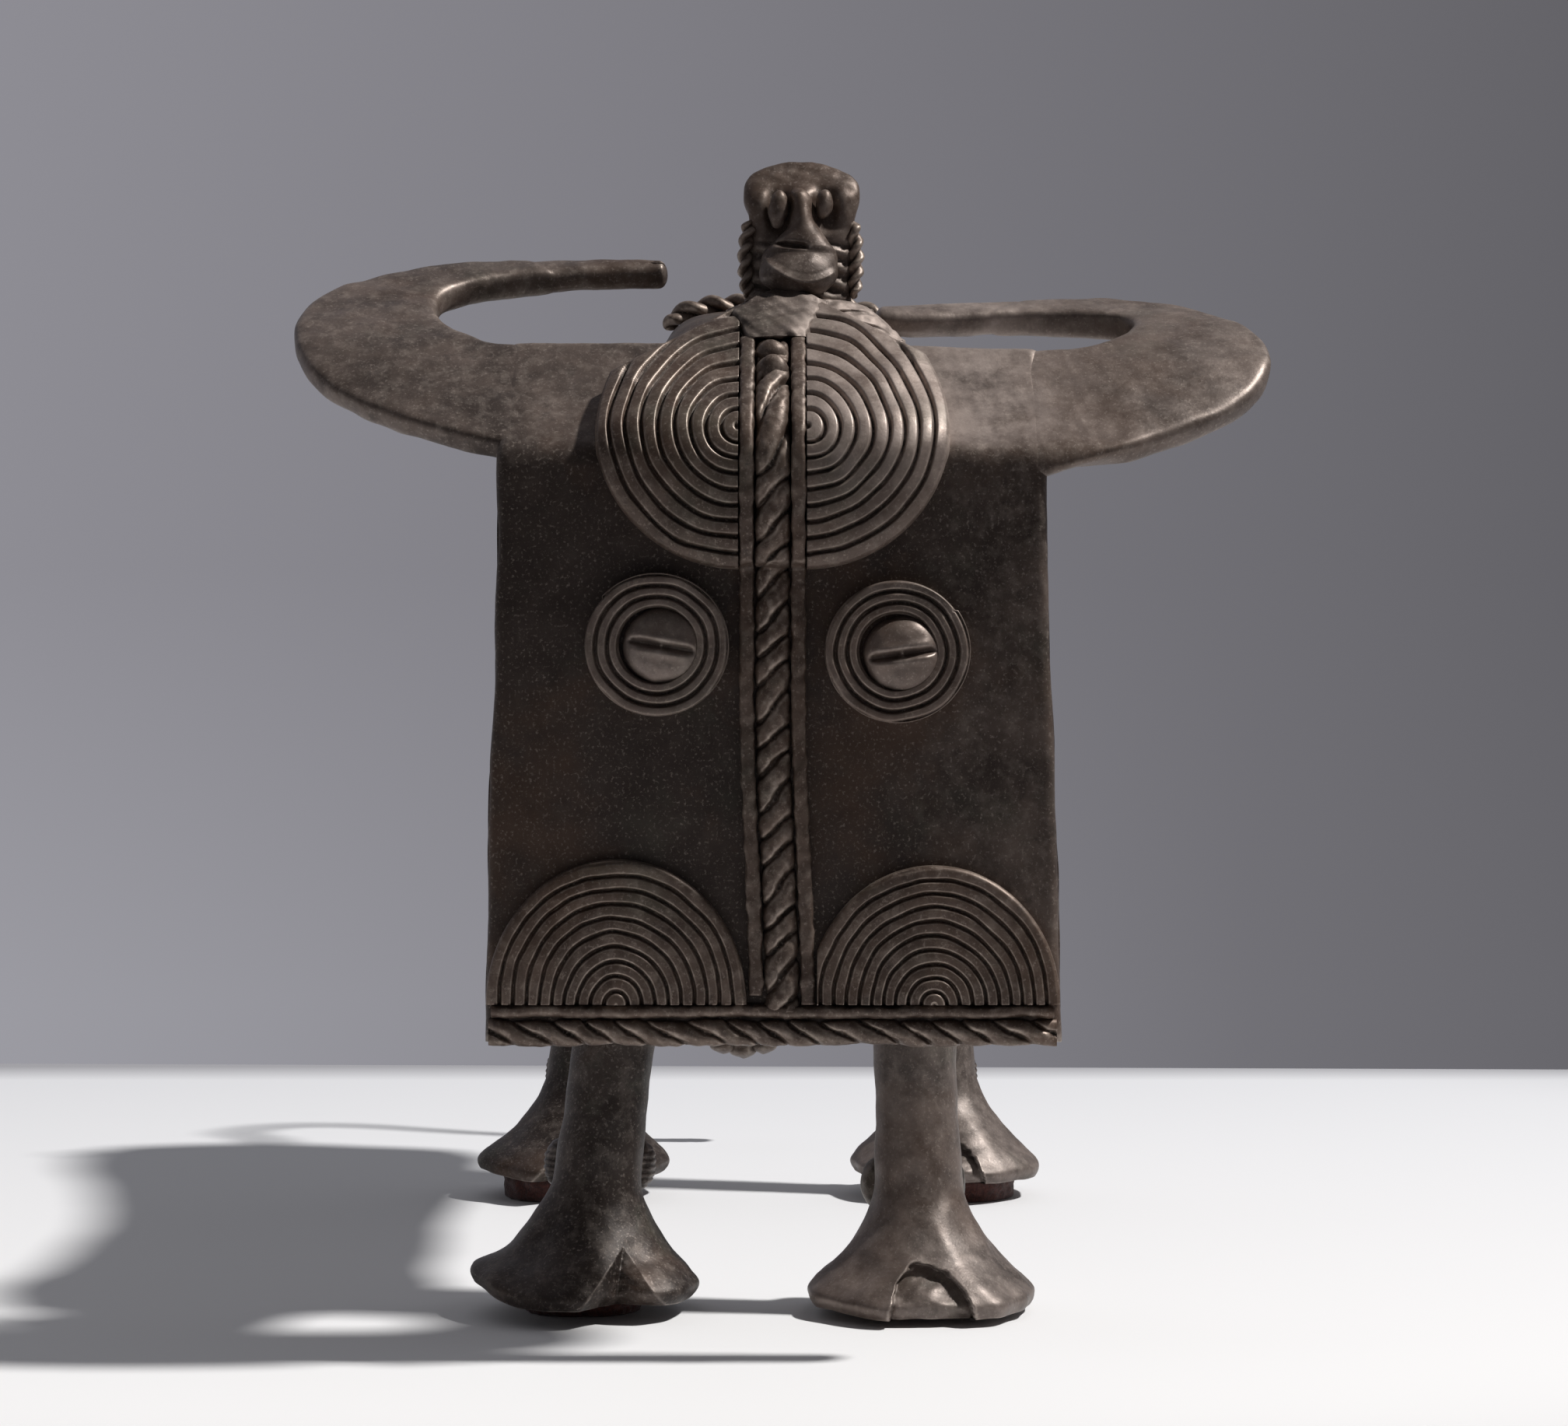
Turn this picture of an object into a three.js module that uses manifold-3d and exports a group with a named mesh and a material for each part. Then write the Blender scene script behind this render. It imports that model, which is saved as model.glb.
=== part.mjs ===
// A cast bronze buffalo figurine, about 12 cm tall: a flat mask-like face whose brow bends back and
// runs out into two crescent horns, a small head on top, a long barrel on four cloven hooves, and a
// thin tail. The wax pieces it was built from (coils, ropes, strips, bosses) are separate pieces here.
// Millimetres, +Z up. The buffalo looks along -Y, and "left" is the side of -X.
import * as THREE from 'three';
import { mergeVertices } from 'three/addons/utils/BufferGeometryUtils.js';
import Module from 'manifold-3d';

const wasm = await Module();
wasm.setup();

const { clamp, degToRad: radians, lerp } = THREE.MathUtils;

// What is left free between two pieces on a curved seat
const CLEARANCE = 0.3;
// Keeps two corners of one ring from falling on the same point
const HAIR = 0.02;

// Mask plate: flat below the fold, sloping back above it
const PLATE_FRONT = -24;
const PLATE_THICKNESS = 2.6;
const PLATE_CORNER = 1.1;
const CHIN_Z = 30.8;
const CHIN_WIDTH = 56.2;
const BROW_WIDTH = 53;
const FOLD_Z = 86.6;
const FOLD_RADIUS = 3;
const BROW_SLOPE = radians(41);
const BROW_REACH = 19.4;
const UPRIGHT = radians(90);
// The plate's edge is square from here on up, for the horns
const SQUARE_EDGE = 3;

// The sheet flattens out again behind the brow, more on one horn than on the other
const STRAIGHT_BROW = 11.4;
const FLATTENING = 12;

// Horns, in the sheet's flat pattern: across (out from the brow's side edge) and along (up from the fold).
// Each pair is one station: a point of the outer edge and the point of the inner edge across from it.
const LEFT_HORN = {
  farSlope: radians(26),
  thickness: 2.6,
  tipThickness: 2.9,
  stations: [
    { outer: [0, 2.8], inner: [0, 19.4] },
    { outer: [10.1, 7.0], inner: [3.7, 21.2] },
    { outer: [18.5, 13.2], inner: [6.7, 24.6] },
    { outer: [21.9, 22.8], inner: [7.9, 28.4] },
    { outer: [19.7, 32.0], inner: [7.2, 32.6] },
    { outer: [12.1, 38.4], inner: [3.5, 35.8] },
    { outer: [0.5, 41.8], inner: [-2.9, 37.8] },
    { outer: [-15.5, 42.2], inner: [-15.5, 39.4] },
  ],
};
const RIGHT_HORN = {
  farSlope: radians(19),
  thickness: 2.6,
  tipThickness: 2.9,
  stations: [
    { outer: [0, -1.0], inner: [0, 18.2] },
    { outer: [12.1, 4.3], inner: [4.9, 19.4] },
    { outer: [20.2, 9.9], inner: [8.3, 22.0] },
    { outer: [23.3, 17.0], inner: [9.9, 24.8] },
    { outer: [20.8, 25.6], inner: [9.1, 27.4] },
    { outer: [15.0, 32.2], inner: [5.5, 28.8] },
    { outer: [3.0, 34.9], inner: [-2.5, 29.4] },
    { outer: [-9.5, 33.2], inner: [-11.0, 28.6] },
    { outer: [-16.1, 32.2], inner: [-16.1, 28.8] },
  ],
};

// Forehead: two half domes of rings on either side of the nose band
const NOSE_HALF_WIDTH = 3.3;
const DOME_HALF_WIDTH = 16.4;
const DOME_RADIUS = 14.3;
const DOME_CENTRE_ALONG = 3.9;
const DOME_HEIGHT = 4.8;
const DOME_EDGE_HEIGHT = 1.2;
const DOME_RINGS = 9;
const RING_RELIEF = 0.45;

// Nose band: a twisted rope between two plain strips
const STRIP_WIDTH = 1.1;
const STRIP_HEIGHT = 1.3;
const ROPE_LIFT = 0.5;
const NOSE_ROPE_RADIUS = 1.7;
const TWIST_PITCH = 2.9;
const FACETS_PER_TWIST = 2.5;

// Eyes: a coil of three rings round a slit boss
const EYE_Z = 69.2;
const EYE_ACROSS = 11.4;
const EYE_COIL_RADIUS = 7;
const EYE_RADIUS = 3.5;
const EYE_COIL_HEIGHT = 1.9;
const EYE_HEIGHT = 2.9;
const EYE_RINGS = 3;
const EYE_SLIT = 0.7;

// Cheeks: half circles of rings standing on the chin bar
const CHEEK_HEIGHT = 13.9;
const CHEEK_RINGS = 10;
const CHEEK_RELIEF = 1.5;
const CHIN_BAR_Z = 33.9;
const CHIN_BAR_WIDTH = 1.2;
const CHIN_BAR_HEIGHT = 1.3;
const CHIN_ROPE_RADIUS = 1.35;
const CHIN_INSET = 0.9;

// Barrel, as stations from chest to rump: place along Y, middle height, half width, half height
const BODY_LENGTH = 132;
const BODY_STATIONS = [
  { y: 0, z: 85, halfWidth: 9, halfHeight: 11 },
  { y: 2.5, z: 84.2, halfWidth: 12.6, halfHeight: 15.4 },
  { y: 9, z: 83.4, halfWidth: 15.2, halfHeight: 18.6 },
  { y: 30, z: 83, halfWidth: 15, halfHeight: 17.6 },
  { y: 0.47 * BODY_LENGTH, z: 84.2, halfWidth: 14.4, halfHeight: 17.4 },
  { y: BODY_LENGTH - 38, z: 87, halfWidth: 15.2, halfHeight: 20.6 },
  { y: BODY_LENGTH - 20, z: 90, halfWidth: 16.2, halfHeight: 22.8 },
  { y: BODY_LENGTH - 9, z: 91.2, halfWidth: 15.6, halfHeight: 22 },
  { y: BODY_LENGTH - 3, z: 93, halfWidth: 12, halfHeight: 17 },
  { y: BODY_LENGTH, z: 97.5, halfWidth: 5.5, halfHeight: 8 },
];
const FLANK_SQUARENESS = 2.6;
const RUMP_SQUARENESS = 4.6;
const SQUARING_START = 0.51;
const SQUARING_END = 0.82;

// Neck, from the back of the plate to the chest
const NECK_FRONT = { z: 80, halfWidth: 6.5, halfHeight: 6 };
const NECK_MIDDLE = { y: -9, z: 86, halfWidth: 8, halfHeight: 9.4 };

// Mound behind the top of the brow: a small hill that its foot carries
const HEAD_X = 2.8;
const HEAD_Y = -5.5;
const MOUND_TOP = 104;
const MOUND_TOP_HALF_WIDTH = 4.7;
const MOUND_FOOT_HALF_WIDTH = 10.4;
const MOUND_HEIGHT = 4;
const MOUND_ROUNDNESS = 0.55;

// Small head on the mound. Heights are over the mound's top.
const HEAD_HEIGHT = 14.3;
const NAPE_HALF_WIDTH = 4.3;
const CREST_HALF_WIDTH = 6;
const CREST_HALF_DEPTH = 2.1;
const CREST_RISE = 7;
const MUZZLE_HALF_WIDTH = 4;
const MUZZLE_HALF_DEPTH = 2.8;
const MUZZLE_OUT = 2.6;
const MUZZLE_DROP = 0.5;
const NOSE_TOP_RISE = 12;
const NOSE_RIDGE_HALF_WIDTH = 0.9;
const SMALL_EYE = { across: 2.35, rise: 9.7, halfWidth: 1, halfHeight: 1.8, halfDepth: 1.1 };
const BRAID_RADIUS = 1;
const BRAID_RISE = 8;

// Twisted collar behind the foot of the small head
const COLLAR_RADIUS = 1.1;
const COLLAR_HALF_WIDTH = 7.4;
const COLLAR_HALF_DEPTH = 3.9;
const COLLAR_DROP = 2.4;

// Rump rope and tail
const RUMP_ROPE_AHEAD = 11;
const RUMP_ROPE_RADIUS = 1.6;
const TAIL_RADIUS = 1.7;
const TAIL_TIP_RADIUS = 1.1;
const TAIL_BEHIND = 22;
const TAIL_RISE = 8;
const TAIL_END = { x: -4.6, z: 21, forward: 11 };
const TUFT_LOBE_RADIUS = 1.9;
const TUFT_LENGTH = 9.2;

// Legs. x at the hip, at the shin and at the hoof, and y at the foot and at the hip, where they lean
// back. pad is the thickness of the pad under the hoof, padBack how far it sits behind the hoof's
// middle, and dewclaw the height of the knobs' middle over the floor.
const FRONT_FOOT_Y = 4;
const FRONT_HIP_Y = 11;
const REAR_FOOT_Y = BODY_LENGTH - 41;
const REAR_HIP_Y = BODY_LENGTH - 29;
const SHAFT_RADIUS = 4.5;
const HIP_RADIUS = 7;
const HIP_Z = 84;
const HIP_SWELL_Z = 66;
const SWELL_HEIGHT = 9;
const SHAFT_TOP_Z = 48;
const SHIN_Z = 26;
const HOOF_RADIUS = 11.9;
const HOOF_HEIGHT = 10.5;
const CLEFT_WIDTH = 9;
const CLEFT_HEIGHT = 5.8;
const CLEFT_DEPTH = 5;
const PAD_SQUARENESS = 2.6;
const DEWCLAW_RADIUS = 2.4;
const DEWCLAW_HEIGHT = 5.6;
const DEWCLAW_ANGLE = radians(38);
const DEWCLAW_RINGS = 3;
const FRONT = { footY: FRONT_FOOT_Y, hipY: FRONT_HIP_Y, padBack: 2 };
const REAR = { footY: REAR_FOOT_Y, hipY: REAR_HIP_Y, padBack: 0 };
const LEGS = {
  front_left: {
    ...FRONT, hip: -9.5, shin: -16.9, hoof: -19.9, pad: 1.8, padRadius: 6.1, dewclaw: 14.6, arched: false },
  front_right: {
    ...FRONT, hip: 9.5, shin: 14.8, hoof: 15.5, pad: 0.8, padRadius: 7, dewclaw: 12.6, arched: true },
  rear_left: {
    ...REAR, hip: -10.5, shin: -23.2, hoof: -25.6, pad: 2.9, padRadius: 8.6, dewclaw: 14.6, arched: false },
  rear_right: {
    ...REAR, hip: 10.5, shin: 20.2, hoof: 21.5, pad: 2.6, padRadius: 8.6, dewclaw: 14.6, arched: true },
};

const bronze = new THREE.MeshStandardMaterial({ color: 0x5b4c40, metalness: 0.85, roughness: 0.48 });
const padding = new THREE.MeshStandardMaterial({ color: 0x56231d, metalness: 0, roughness: 0.9 });

// Triangles that close a flat ring, turned the way the ring runs
function capTriangles(ring) {
  const normal = new THREE.Vector3();
  ring.forEach((p, i) => {
    const q = ring[(i + 1) % ring.length];
    normal.x += (p.y - q.y) * (p.z + q.z);
    normal.y += (p.z - q.z) * (p.x + q.x);
    normal.z += (p.x - q.x) * (p.y + q.y);
  });
  normal.normalize();
  const reference = Math.abs(normal.x) < 0.9 ? new THREE.Vector3(1, 0, 0) : new THREE.Vector3(0, 1, 0);
  const u = new THREE.Vector3().crossVectors(reference, normal).normalize();
  const w = new THREE.Vector3().crossVectors(normal, u);
  const flat = ring.map((p) => new THREE.Vector2(p.dot(u), p.dot(w)));
  return THREE.ShapeUtils.triangulateShape(flat, []).map(([a, b, c]) => {
    const turn = (flat[b].x - flat[a].x) * (flat[c].y - flat[a].y)
      - (flat[b].y - flat[a].y) * (flat[c].x - flat[a].x);
    return turn > 0 ? [a, b, c] : [a, c, b];
  });
}

// Closed solid through rings of points. Its ends are capped, unless the rings run round to the start.
function loft(rings, endless = false) {
  const count = rings[0].length;
  const positions = rings.flat().flatMap((p) => [p.x, p.y, p.z]);
  const index = [];
  const spans = endless ? rings.length : rings.length - 1;
  for (let i = 0; i < spans; i += 1) {
    const a = i * count;
    const b = ((i + 1) % rings.length) * count;
    for (let j = 0; j < count; j += 1) {
      const k = (j + 1) % count;
      index.push(a + j, b + j, b + k, a + j, b + k, a + k);
    }
  }
  if (!endless) {
    const end = (rings.length - 1) * count;
    capTriangles(rings[0]).forEach(([a, b, c]) => index.push(a, b, c));
    capTriangles(rings[rings.length - 1]).forEach(([a, b, c]) => index.push(end + a, end + c, end + b));
  }
  return outward(positions, index);
}

// Geometry whose faces point out, whichever way its rings ran
function outward(positions, index) {
  const corner = (i) => new THREE.Vector3().fromArray(positions, 3 * i);
  let volume = 0;
  for (let i = 0; i < index.length; i += 3) {
    volume += corner(index[i]).dot(corner(index[i + 1]).cross(corner(index[i + 2])));
  }
  if (volume < 0) index.reverse();
  const geometry = new THREE.BufferGeometry();
  geometry.setAttribute('position', new THREE.Float32BufferAttribute(positions, 3));
  geometry.setIndex(index);
  return geometry;
}

function toSolid(geometry) {
  const plain = geometry.clone();
  plain.deleteAttribute('normal');
  plain.deleteAttribute('uv');
  const merged = mergeVertices(plain);
  return new wasm.Manifold(new wasm.Mesh({
    numProp: 3,
    vertProperties: new Float32Array(merged.attributes.position.array),
    triVerts: new Uint32Array(merged.index.array),
  }));
}

function toGeometry(solid) {
  const mesh = solid.getMesh();
  const geometry = new THREE.BufferGeometry();
  geometry.setAttribute('position', new THREE.BufferAttribute(mesh.vertProperties, 3));
  geometry.setIndex(new THREE.BufferAttribute(mesh.triVerts, 1));
  return geometry;
}

// The piece with each of the other geometries cut out of it
function cut(geometry, ...others) {
  return toGeometry(others.reduce((solid, other) => solid.subtract(toSolid(other)), toSolid(geometry)));
}

function join(...geometries) {
  return toGeometry(geometries.map(toSolid).reduce((whole, solid) => whole.add(solid)));
}

function turns(count) {
  return Array.from({ length: count }, (unused, i) => (2 * Math.PI * i) / count);
}

function steps(count) {
  return Array.from({ length: count + 1 }, (unused, i) => i / count);
}

// Cosine or sine raised to a rounded square's power, which keeps its sign
function squared(value, power) {
  return Math.sign(value) * Math.abs(value) ** (2 / power);
}

// The bent sheet in side view: its front face at a distance along it above the fold
function sheetAt(along, farSlope) {
  const stretches = [
    { length: FOLD_RADIUS * (UPRIGHT - BROW_SLOPE), turn: UPRIGHT - BROW_SLOPE },
    { length: STRAIGHT_BROW, turn: 0 },
    { length: FLATTENING, turn: BROW_SLOPE - farSlope },
    { length: Infinity, turn: 0 },
  ];
  const point = { y: PLATE_FRONT, z: FOLD_Z, slope: UPRIGHT };
  if (along <= 0) return { ...point, z: FOLD_Z + along };
  let rest = along;
  for (const { length, turn } of stretches) {
    const run = Math.min(rest, length);
    const curvature = turn / length;
    const slope = point.slope - curvature * run;
    if (turn === 0) {
      point.y += Math.cos(slope) * run;
      point.z += Math.sin(slope) * run;
    } else {
      point.y += (Math.sin(point.slope) - Math.sin(slope)) / curvature;
      point.z += (Math.cos(slope) - Math.cos(point.slope)) / curvature;
    }
    point.slope = slope;
    rest -= run;
    if (rest <= 0) break;
  }
  return point;
}

// Point at a height over the bent sheet's front face
function onSheet(x, along, height, farSlope = BROW_SLOPE) {
  const { y, z, slope } = sheetAt(along, farSlope);
  return new THREE.Vector3(x, y - Math.sin(slope) * height, z + Math.cos(slope) * height);
}

function plateHalfWidth(along) {
  const down = clamp((-along - SQUARE_EDGE) / (FOLD_Z - CHIN_Z - SQUARE_EDGE), 0, 1);
  return lerp(BROW_WIDTH / 2, CHIN_WIDTH / 2, down);
}

// Mask plate as a stack of flat rounded sections, square-ended at the brow, where the horns meet it
function facePlate(grow = 0) {
  const height = FOLD_Z - CHIN_Z;
  const alongs = [-height - grow, -0.66 * height, -0.33 * height, -SQUARE_EDGE];
  const foldLength = FOLD_RADIUS * (UPRIGHT - BROW_SLOPE);
  steps(4).forEach((t) => alongs.push(t * foldLength));
  steps(3).slice(1).forEach((t) => alongs.push(lerp(foldLength, BROW_REACH + grow, t)));
  const rings = alongs.map((along) => {
    const corner = along < 0 ? PLATE_CORNER : 0.05;
    const half = plateHalfWidth(along) + grow;
    const corners = [[1, 0], [-1, 0], [-1, -1], [1, -1]];
    const starts = [0, 0.25, 0.5, 0.75];
    return corners.flatMap(([side, face], i) => steps(2).map((t) => {
      const angle = (starts[i] + t / 4) * 2 * Math.PI;
      const x = side * (half - corner) + corner * Math.cos(angle);
      const depth = face === 0 ? -corner : corner - PLATE_THICKNESS - grow * 2;
      return onSheet(x, along, grow + depth + corner * Math.sin(angle));
    }));
  });
  return loft(rings);
}

// Crescent horn: oval sections across the sheet between its outer and its inner edge
function horn({ stations, farSlope, thickness, tipThickness }, side) {
  const edge = (key) => new THREE.CatmullRomCurve3(
    stations.map((station) => new THREE.Vector3(BROW_WIDTH / 2 + station[key][0], station[key][1], 0)),
    false, 'centripetal');
  const outer = edge('outer');
  const inner = edge('inner');
  const rings = steps(24).map((t) => {
    const a = outer.getPoint(t);
    const b = inner.getPoint(t);
    const middle = a.clone().add(b).multiplyScalar(0.5);
    const half = a.clone().sub(b).multiplyScalar(0.5);
    const thick = lerp(thickness, tipThickness, t);
    return turns(12).map((angle) => {
      const p = middle.clone().addScaledVector(half, squared(Math.cos(angle), 4));
      const height = (thick / 2) * (squared(Math.sin(angle), 3.2) - 1);
      return onSheet(side * p.x, p.y, height, farSlope);
    });
  });
  return loft(rings);
}

// Ridged profile from a middle (0) to a rim (1): valleys between rings, a peak on each ring
function ringProfile(rings) {
  return steps(2 * rings).map((t, i) => ({ t, peak: i % 2 }));
}

// Half dome of rings over the fold, swept through half a turn about its middle
function foreheadCoil(side) {
  const inner = NOSE_HALF_WIDTH + CLEARANCE;
  const reach = DOME_HALF_WIDTH - inner;
  const place = (t, angle) => [
    inner + reach * t * Math.cos(angle), DOME_CENTRE_ALONG + DOME_RADIUS * t * Math.sin(angle)];
  const rings = steps(12).map((turn) => {
    const angle = (turn - 0.5) * Math.PI;
    const top = ringProfile(DOME_RINGS).map(({ t, peak }) => {
      const [x, along] = place(t, angle);
      return onSheet(side * (x + HAIR * (1 - t)), along, domeHeight(t) - RING_RELIEF * (1 - peak));
    });
    const seat = steps(6).reverse().map((t) => {
      const [x, along] = place(t, angle);
      return onSheet(side * x, along, 0);
    });
    return [...top, ...seat];
  });
  return cut(loft(rings), facePlate(CLEARANCE));
}

// Height of the forehead over the sheet, from its middle (0) to its rim (1)
function domeHeight(t) {
  const round = Math.sqrt(Math.max(0, 1 - (0.94 * t) ** 2));
  return DOME_EDGE_HEIGHT + (DOME_HEIGHT - DOME_EDGE_HEIGHT) * round;
}

// How far the nose band is lifted by the forehead it crosses
function bandLift(along) {
  const t = Math.abs(along - DOME_CENTRE_ALONG) / DOME_RADIUS;
  return t < 1 ? domeHeight(t) - DOME_EDGE_HEIGHT : 0;
}

function bandRange() {
  return { top: BROW_REACH - 1, bottom: CHIN_BAR_Z + CHIN_BAR_WIDTH / 2 + CLEARANCE - FOLD_Z };
}

// Twisted rope of two strands down the nose, with straight walls to its seat where the forehead lifts it
function noseRope() {
  const { top, bottom } = bandRange();
  const count = Math.round((FACETS_PER_TWIST * (top - bottom)) / TWIST_PITCH);
  const rings = steps(count).map((s) => {
    const along = lerp(top, bottom, s);
    const twist = (Math.PI * along) / TWIST_PITCH;
    const arc = steps(5).map((t) => {
      const angle = t * Math.PI;
      const radius = NOSE_ROPE_RADIUS * (0.86 + 0.14 * Math.cos(2 * (angle - twist)));
      return onSheet(radius * Math.cos(angle), along, bandLift(along) + ROPE_LIFT + radius * Math.sin(angle));
    });
    const seat = [-1, 1].map((side) => onSheet(side * NOSE_ROPE_RADIUS * 0.8, along, 0));
    return [...arc, ...seat];
  });
  return cut(loft(rings), facePlate(CLEARANCE));
}

// Plain rounded strip beside the nose rope
function noseBorder(side) {
  const { top, bottom } = bandRange();
  const middle = NOSE_HALF_WIDTH - STRIP_WIDTH / 2;
  const rings = steps(20).map((s) => {
    const along = lerp(top, bottom, s);
    const arc = steps(3).map((t) => {
      const angle = t * Math.PI;
      const height = bandLift(along) + STRIP_HEIGHT - (STRIP_WIDTH / 2) * (1 - Math.sin(angle));
      return onSheet(side * middle + (STRIP_WIDTH / 2) * Math.cos(angle), along, height);
    });
    const seat = [-1, 1].map((edge) => onSheet(side * middle + (edge * STRIP_WIDTH) / 2, along, 0));
    return [...arc, ...seat];
  });
  return cut(loft(rings), facePlate(CLEARANCE));
}

// Point on the flat of the plate: across, up and out from its face
function onPlate(x, z, out) {
  return new THREE.Vector3(x, PLATE_FRONT - out, z);
}

function eyeCoil(side) {
  const inner = EYE_RADIUS + CLEARANCE;
  const rings = turns(22).map((angle) => {
    const at = (radius, out) => onPlate(
      side * EYE_ACROSS + radius * Math.cos(angle), EYE_Z + radius * Math.sin(angle), out);
    const top = ringProfile(EYE_RINGS).map(({ t, peak }) => at(
      lerp(inner, EYE_COIL_RADIUS, t), EYE_COIL_HEIGHT - 1.5 * RING_RELIEF * (1 - peak)));
    return [at(inner, 0), ...top, at(EYE_COIL_RADIUS, 0)];
  });
  return loft(rings, true);
}

// Bean-shaped boss with a slit across it
function eye(side) {
  const profile = steps(5).map((t) => new THREE.Vector2(
    EYE_RADIUS * Math.cos((t * Math.PI) / 2), EYE_HEIGHT * Math.sin((t * Math.PI) / 2)));
  const boss = new THREE.LatheGeometry([new THREE.Vector2(0, 0), ...profile], 16);
  boss.rotateX(Math.PI);
  boss.translate(side * EYE_ACROSS, PLATE_FRONT, EYE_Z);
  const slit = new THREE.BoxGeometry(EYE_RADIUS * 1.7, EYE_HEIGHT, EYE_SLIT);
  slit.translate(side * EYE_ACROSS, PLATE_FRONT - EYE_HEIGHT, EYE_Z);
  return cut(boss, slit);
}

// Half circles of rings between the nose band and the plate's edge
function cheekArcs(side) {
  const inner = NOSE_HALF_WIDTH + CLEARANCE;
  const outer = CHIN_WIDTH / 2 - CHIN_INSET;
  const middle = (inner + outer) / 2;
  const reach = (outer - inner) / 2;
  const base = CHIN_BAR_Z + CHIN_BAR_WIDTH / 2 + CLEARANCE;
  const rings = steps(16).map((turn) => {
    const angle = turn * Math.PI;
    const at = (t, out) => onPlate(
      side * (middle + reach * t * Math.cos(angle)), base + CHEEK_HEIGHT * t * Math.sin(angle), out);
    const core = 0.5 / CHEEK_RINGS;
    const top = ringProfile(CHEEK_RINGS).slice(1).map(({ t, peak }) => at(
      t, CHEEK_RELIEF - RING_RELIEF * (1 - peak)));
    return [at(core, 0), ...top, at(1, 0)];
  });
  return loft(rings);
}

function chinBar() {
  const half = CHIN_WIDTH / 2 - CHIN_INSET;
  const rings = [-half, half].map((x) => {
    const point = (angle) => onPlate(
      x, CHIN_BAR_Z + (CHIN_BAR_WIDTH / 2) * Math.cos(angle), CHIN_BAR_HEIGHT * Math.sin(angle));
    return steps(5).map((t) => point(t * Math.PI));
  });
  return loft(rings);
}

// Twisted rope of two strands on the plate's lower edge, flat where it lies on the plate
function chinRope() {
  const half = CHIN_WIDTH / 2 - CHIN_INSET;
  const middle = CHIN_BAR_Z - CHIN_BAR_WIDTH / 2 - CHIN_ROPE_RADIUS - 0.1;
  const count = Math.round((FACETS_PER_TWIST * 2 * half) / TWIST_PITCH);
  const rings = steps(count).map((s) => {
    const x = lerp(-half, half, s);
    const twist = (Math.PI * x) / TWIST_PITCH;
    const arc = steps(5).map((t) => {
      const angle = t * Math.PI;
      const radius = CHIN_ROPE_RADIUS * (0.86 + 0.14 * Math.cos(2 * (angle - twist)));
      return onPlate(x, middle + radius * Math.cos(angle), ROPE_LIFT + radius * Math.sin(angle));
    });
    const seat = [-1, 1].map((edge) => onPlate(x, middle + edge * CHIN_ROPE_RADIUS * 0.8, 0));
    return [...arc, ...seat];
  });
  return loft(rings);
}

// Outline of the barrel at one station, squarer on top towards the rump
function bodyRing({ y, z, halfWidth, halfHeight }, grow = 0, count = 18) {
  const place = y / BODY_LENGTH;
  const rear = clamp((place - SQUARING_START) / (SQUARING_END - SQUARING_START), 0, 1);
  const topPower = lerp(FLANK_SQUARENESS, RUMP_SQUARENESS, rear);
  return turns(count).map((angle) => bodyPoint({ y, z, halfWidth, halfHeight }, topPower, grow, angle));
}

function bodyPoint({ y, z, halfWidth, halfHeight }, topPower, grow, angle) {
  const power = Math.sin(angle) > 0 ? topPower : FLANK_SQUARENESS;
  const x = (halfWidth + grow) * squared(Math.cos(angle), power);
  return new THREE.Vector3(x, y, z + (halfHeight + grow) * squared(Math.sin(angle), power));
}

function body(grow = 0) {
  const first = BODY_STATIONS[0];
  const last = BODY_STATIONS[BODY_STATIONS.length - 1];
  const stations = BODY_STATIONS.map((station) => ({ ...station }));
  stations[0].y = first.y - grow;
  stations[stations.length - 1].y = last.y + grow;
  return loft(stations.map((station) => bodyRing(station, grow)));
}

function ovalRing({ y, z, halfWidth, halfHeight }, grow, count = 20) {
  return turns(count).map((angle) => new THREE.Vector3(
    (halfWidth + grow) * Math.cos(angle), y, z + (halfHeight + grow) * Math.sin(angle)));
}

function neck(grow = 0) {
  const chest = BODY_STATIONS[0];
  const root = { ...NECK_FRONT, y: PLATE_FRONT + PLATE_THICKNESS };
  const between = (a, b, t) => ({
    y: lerp(a.y, b.y, t),
    z: lerp(a.z, b.z, t),
    halfWidth: lerp(a.halfWidth, b.halfWidth, t),
    halfHeight: lerp(a.halfHeight, b.halfHeight, t),
  });
  const middle = NECK_MIDDLE;
  const stations = [root, between(root, middle, 0.5), middle, between(middle, chest, 0.5), chest];
  return loft(stations.map((station) => ovalRing(station, grow)));
}

// Ring lying flat at a height, for pieces that stand upright
function levelRing(x, y, z, halfWidth, halfDepth, count = 16) {
  return turns(count).map((angle) => new THREE.Vector3(
    x + halfWidth * Math.cos(angle), y + halfDepth * Math.sin(angle), z));
}

// Hill from its foot on the neck up to the small head, steep at the foot and easing off to the top
function mound(grow = 0) {
  const bottom = NECK_MIDDLE.z + NECK_MIDDLE.halfHeight - 2;
  const hill = steps(5).map((t) => {
    const share = (1 - t) ** MOUND_ROUNDNESS;
    const halfWidth = lerp(MOUND_TOP_HALF_WIDTH, MOUND_FOOT_HALF_WIDTH, share);
    return [MOUND_TOP - (1 - t) * MOUND_HEIGHT, halfWidth];
  });
  return loft([[bottom, MOUND_FOOT_HALF_WIDTH], ...hill].map(([z, halfWidth]) => levelRing(
    HEAD_X, HEAD_Y, z, halfWidth + grow, moundDepth(halfWidth) + grow)));
}

// The hill's section is about half as deep as it is wide, and rounder at the top
function moundDepth(halfWidth) {
  return 1.2 + 0.38 * halfWidth;
}

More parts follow.
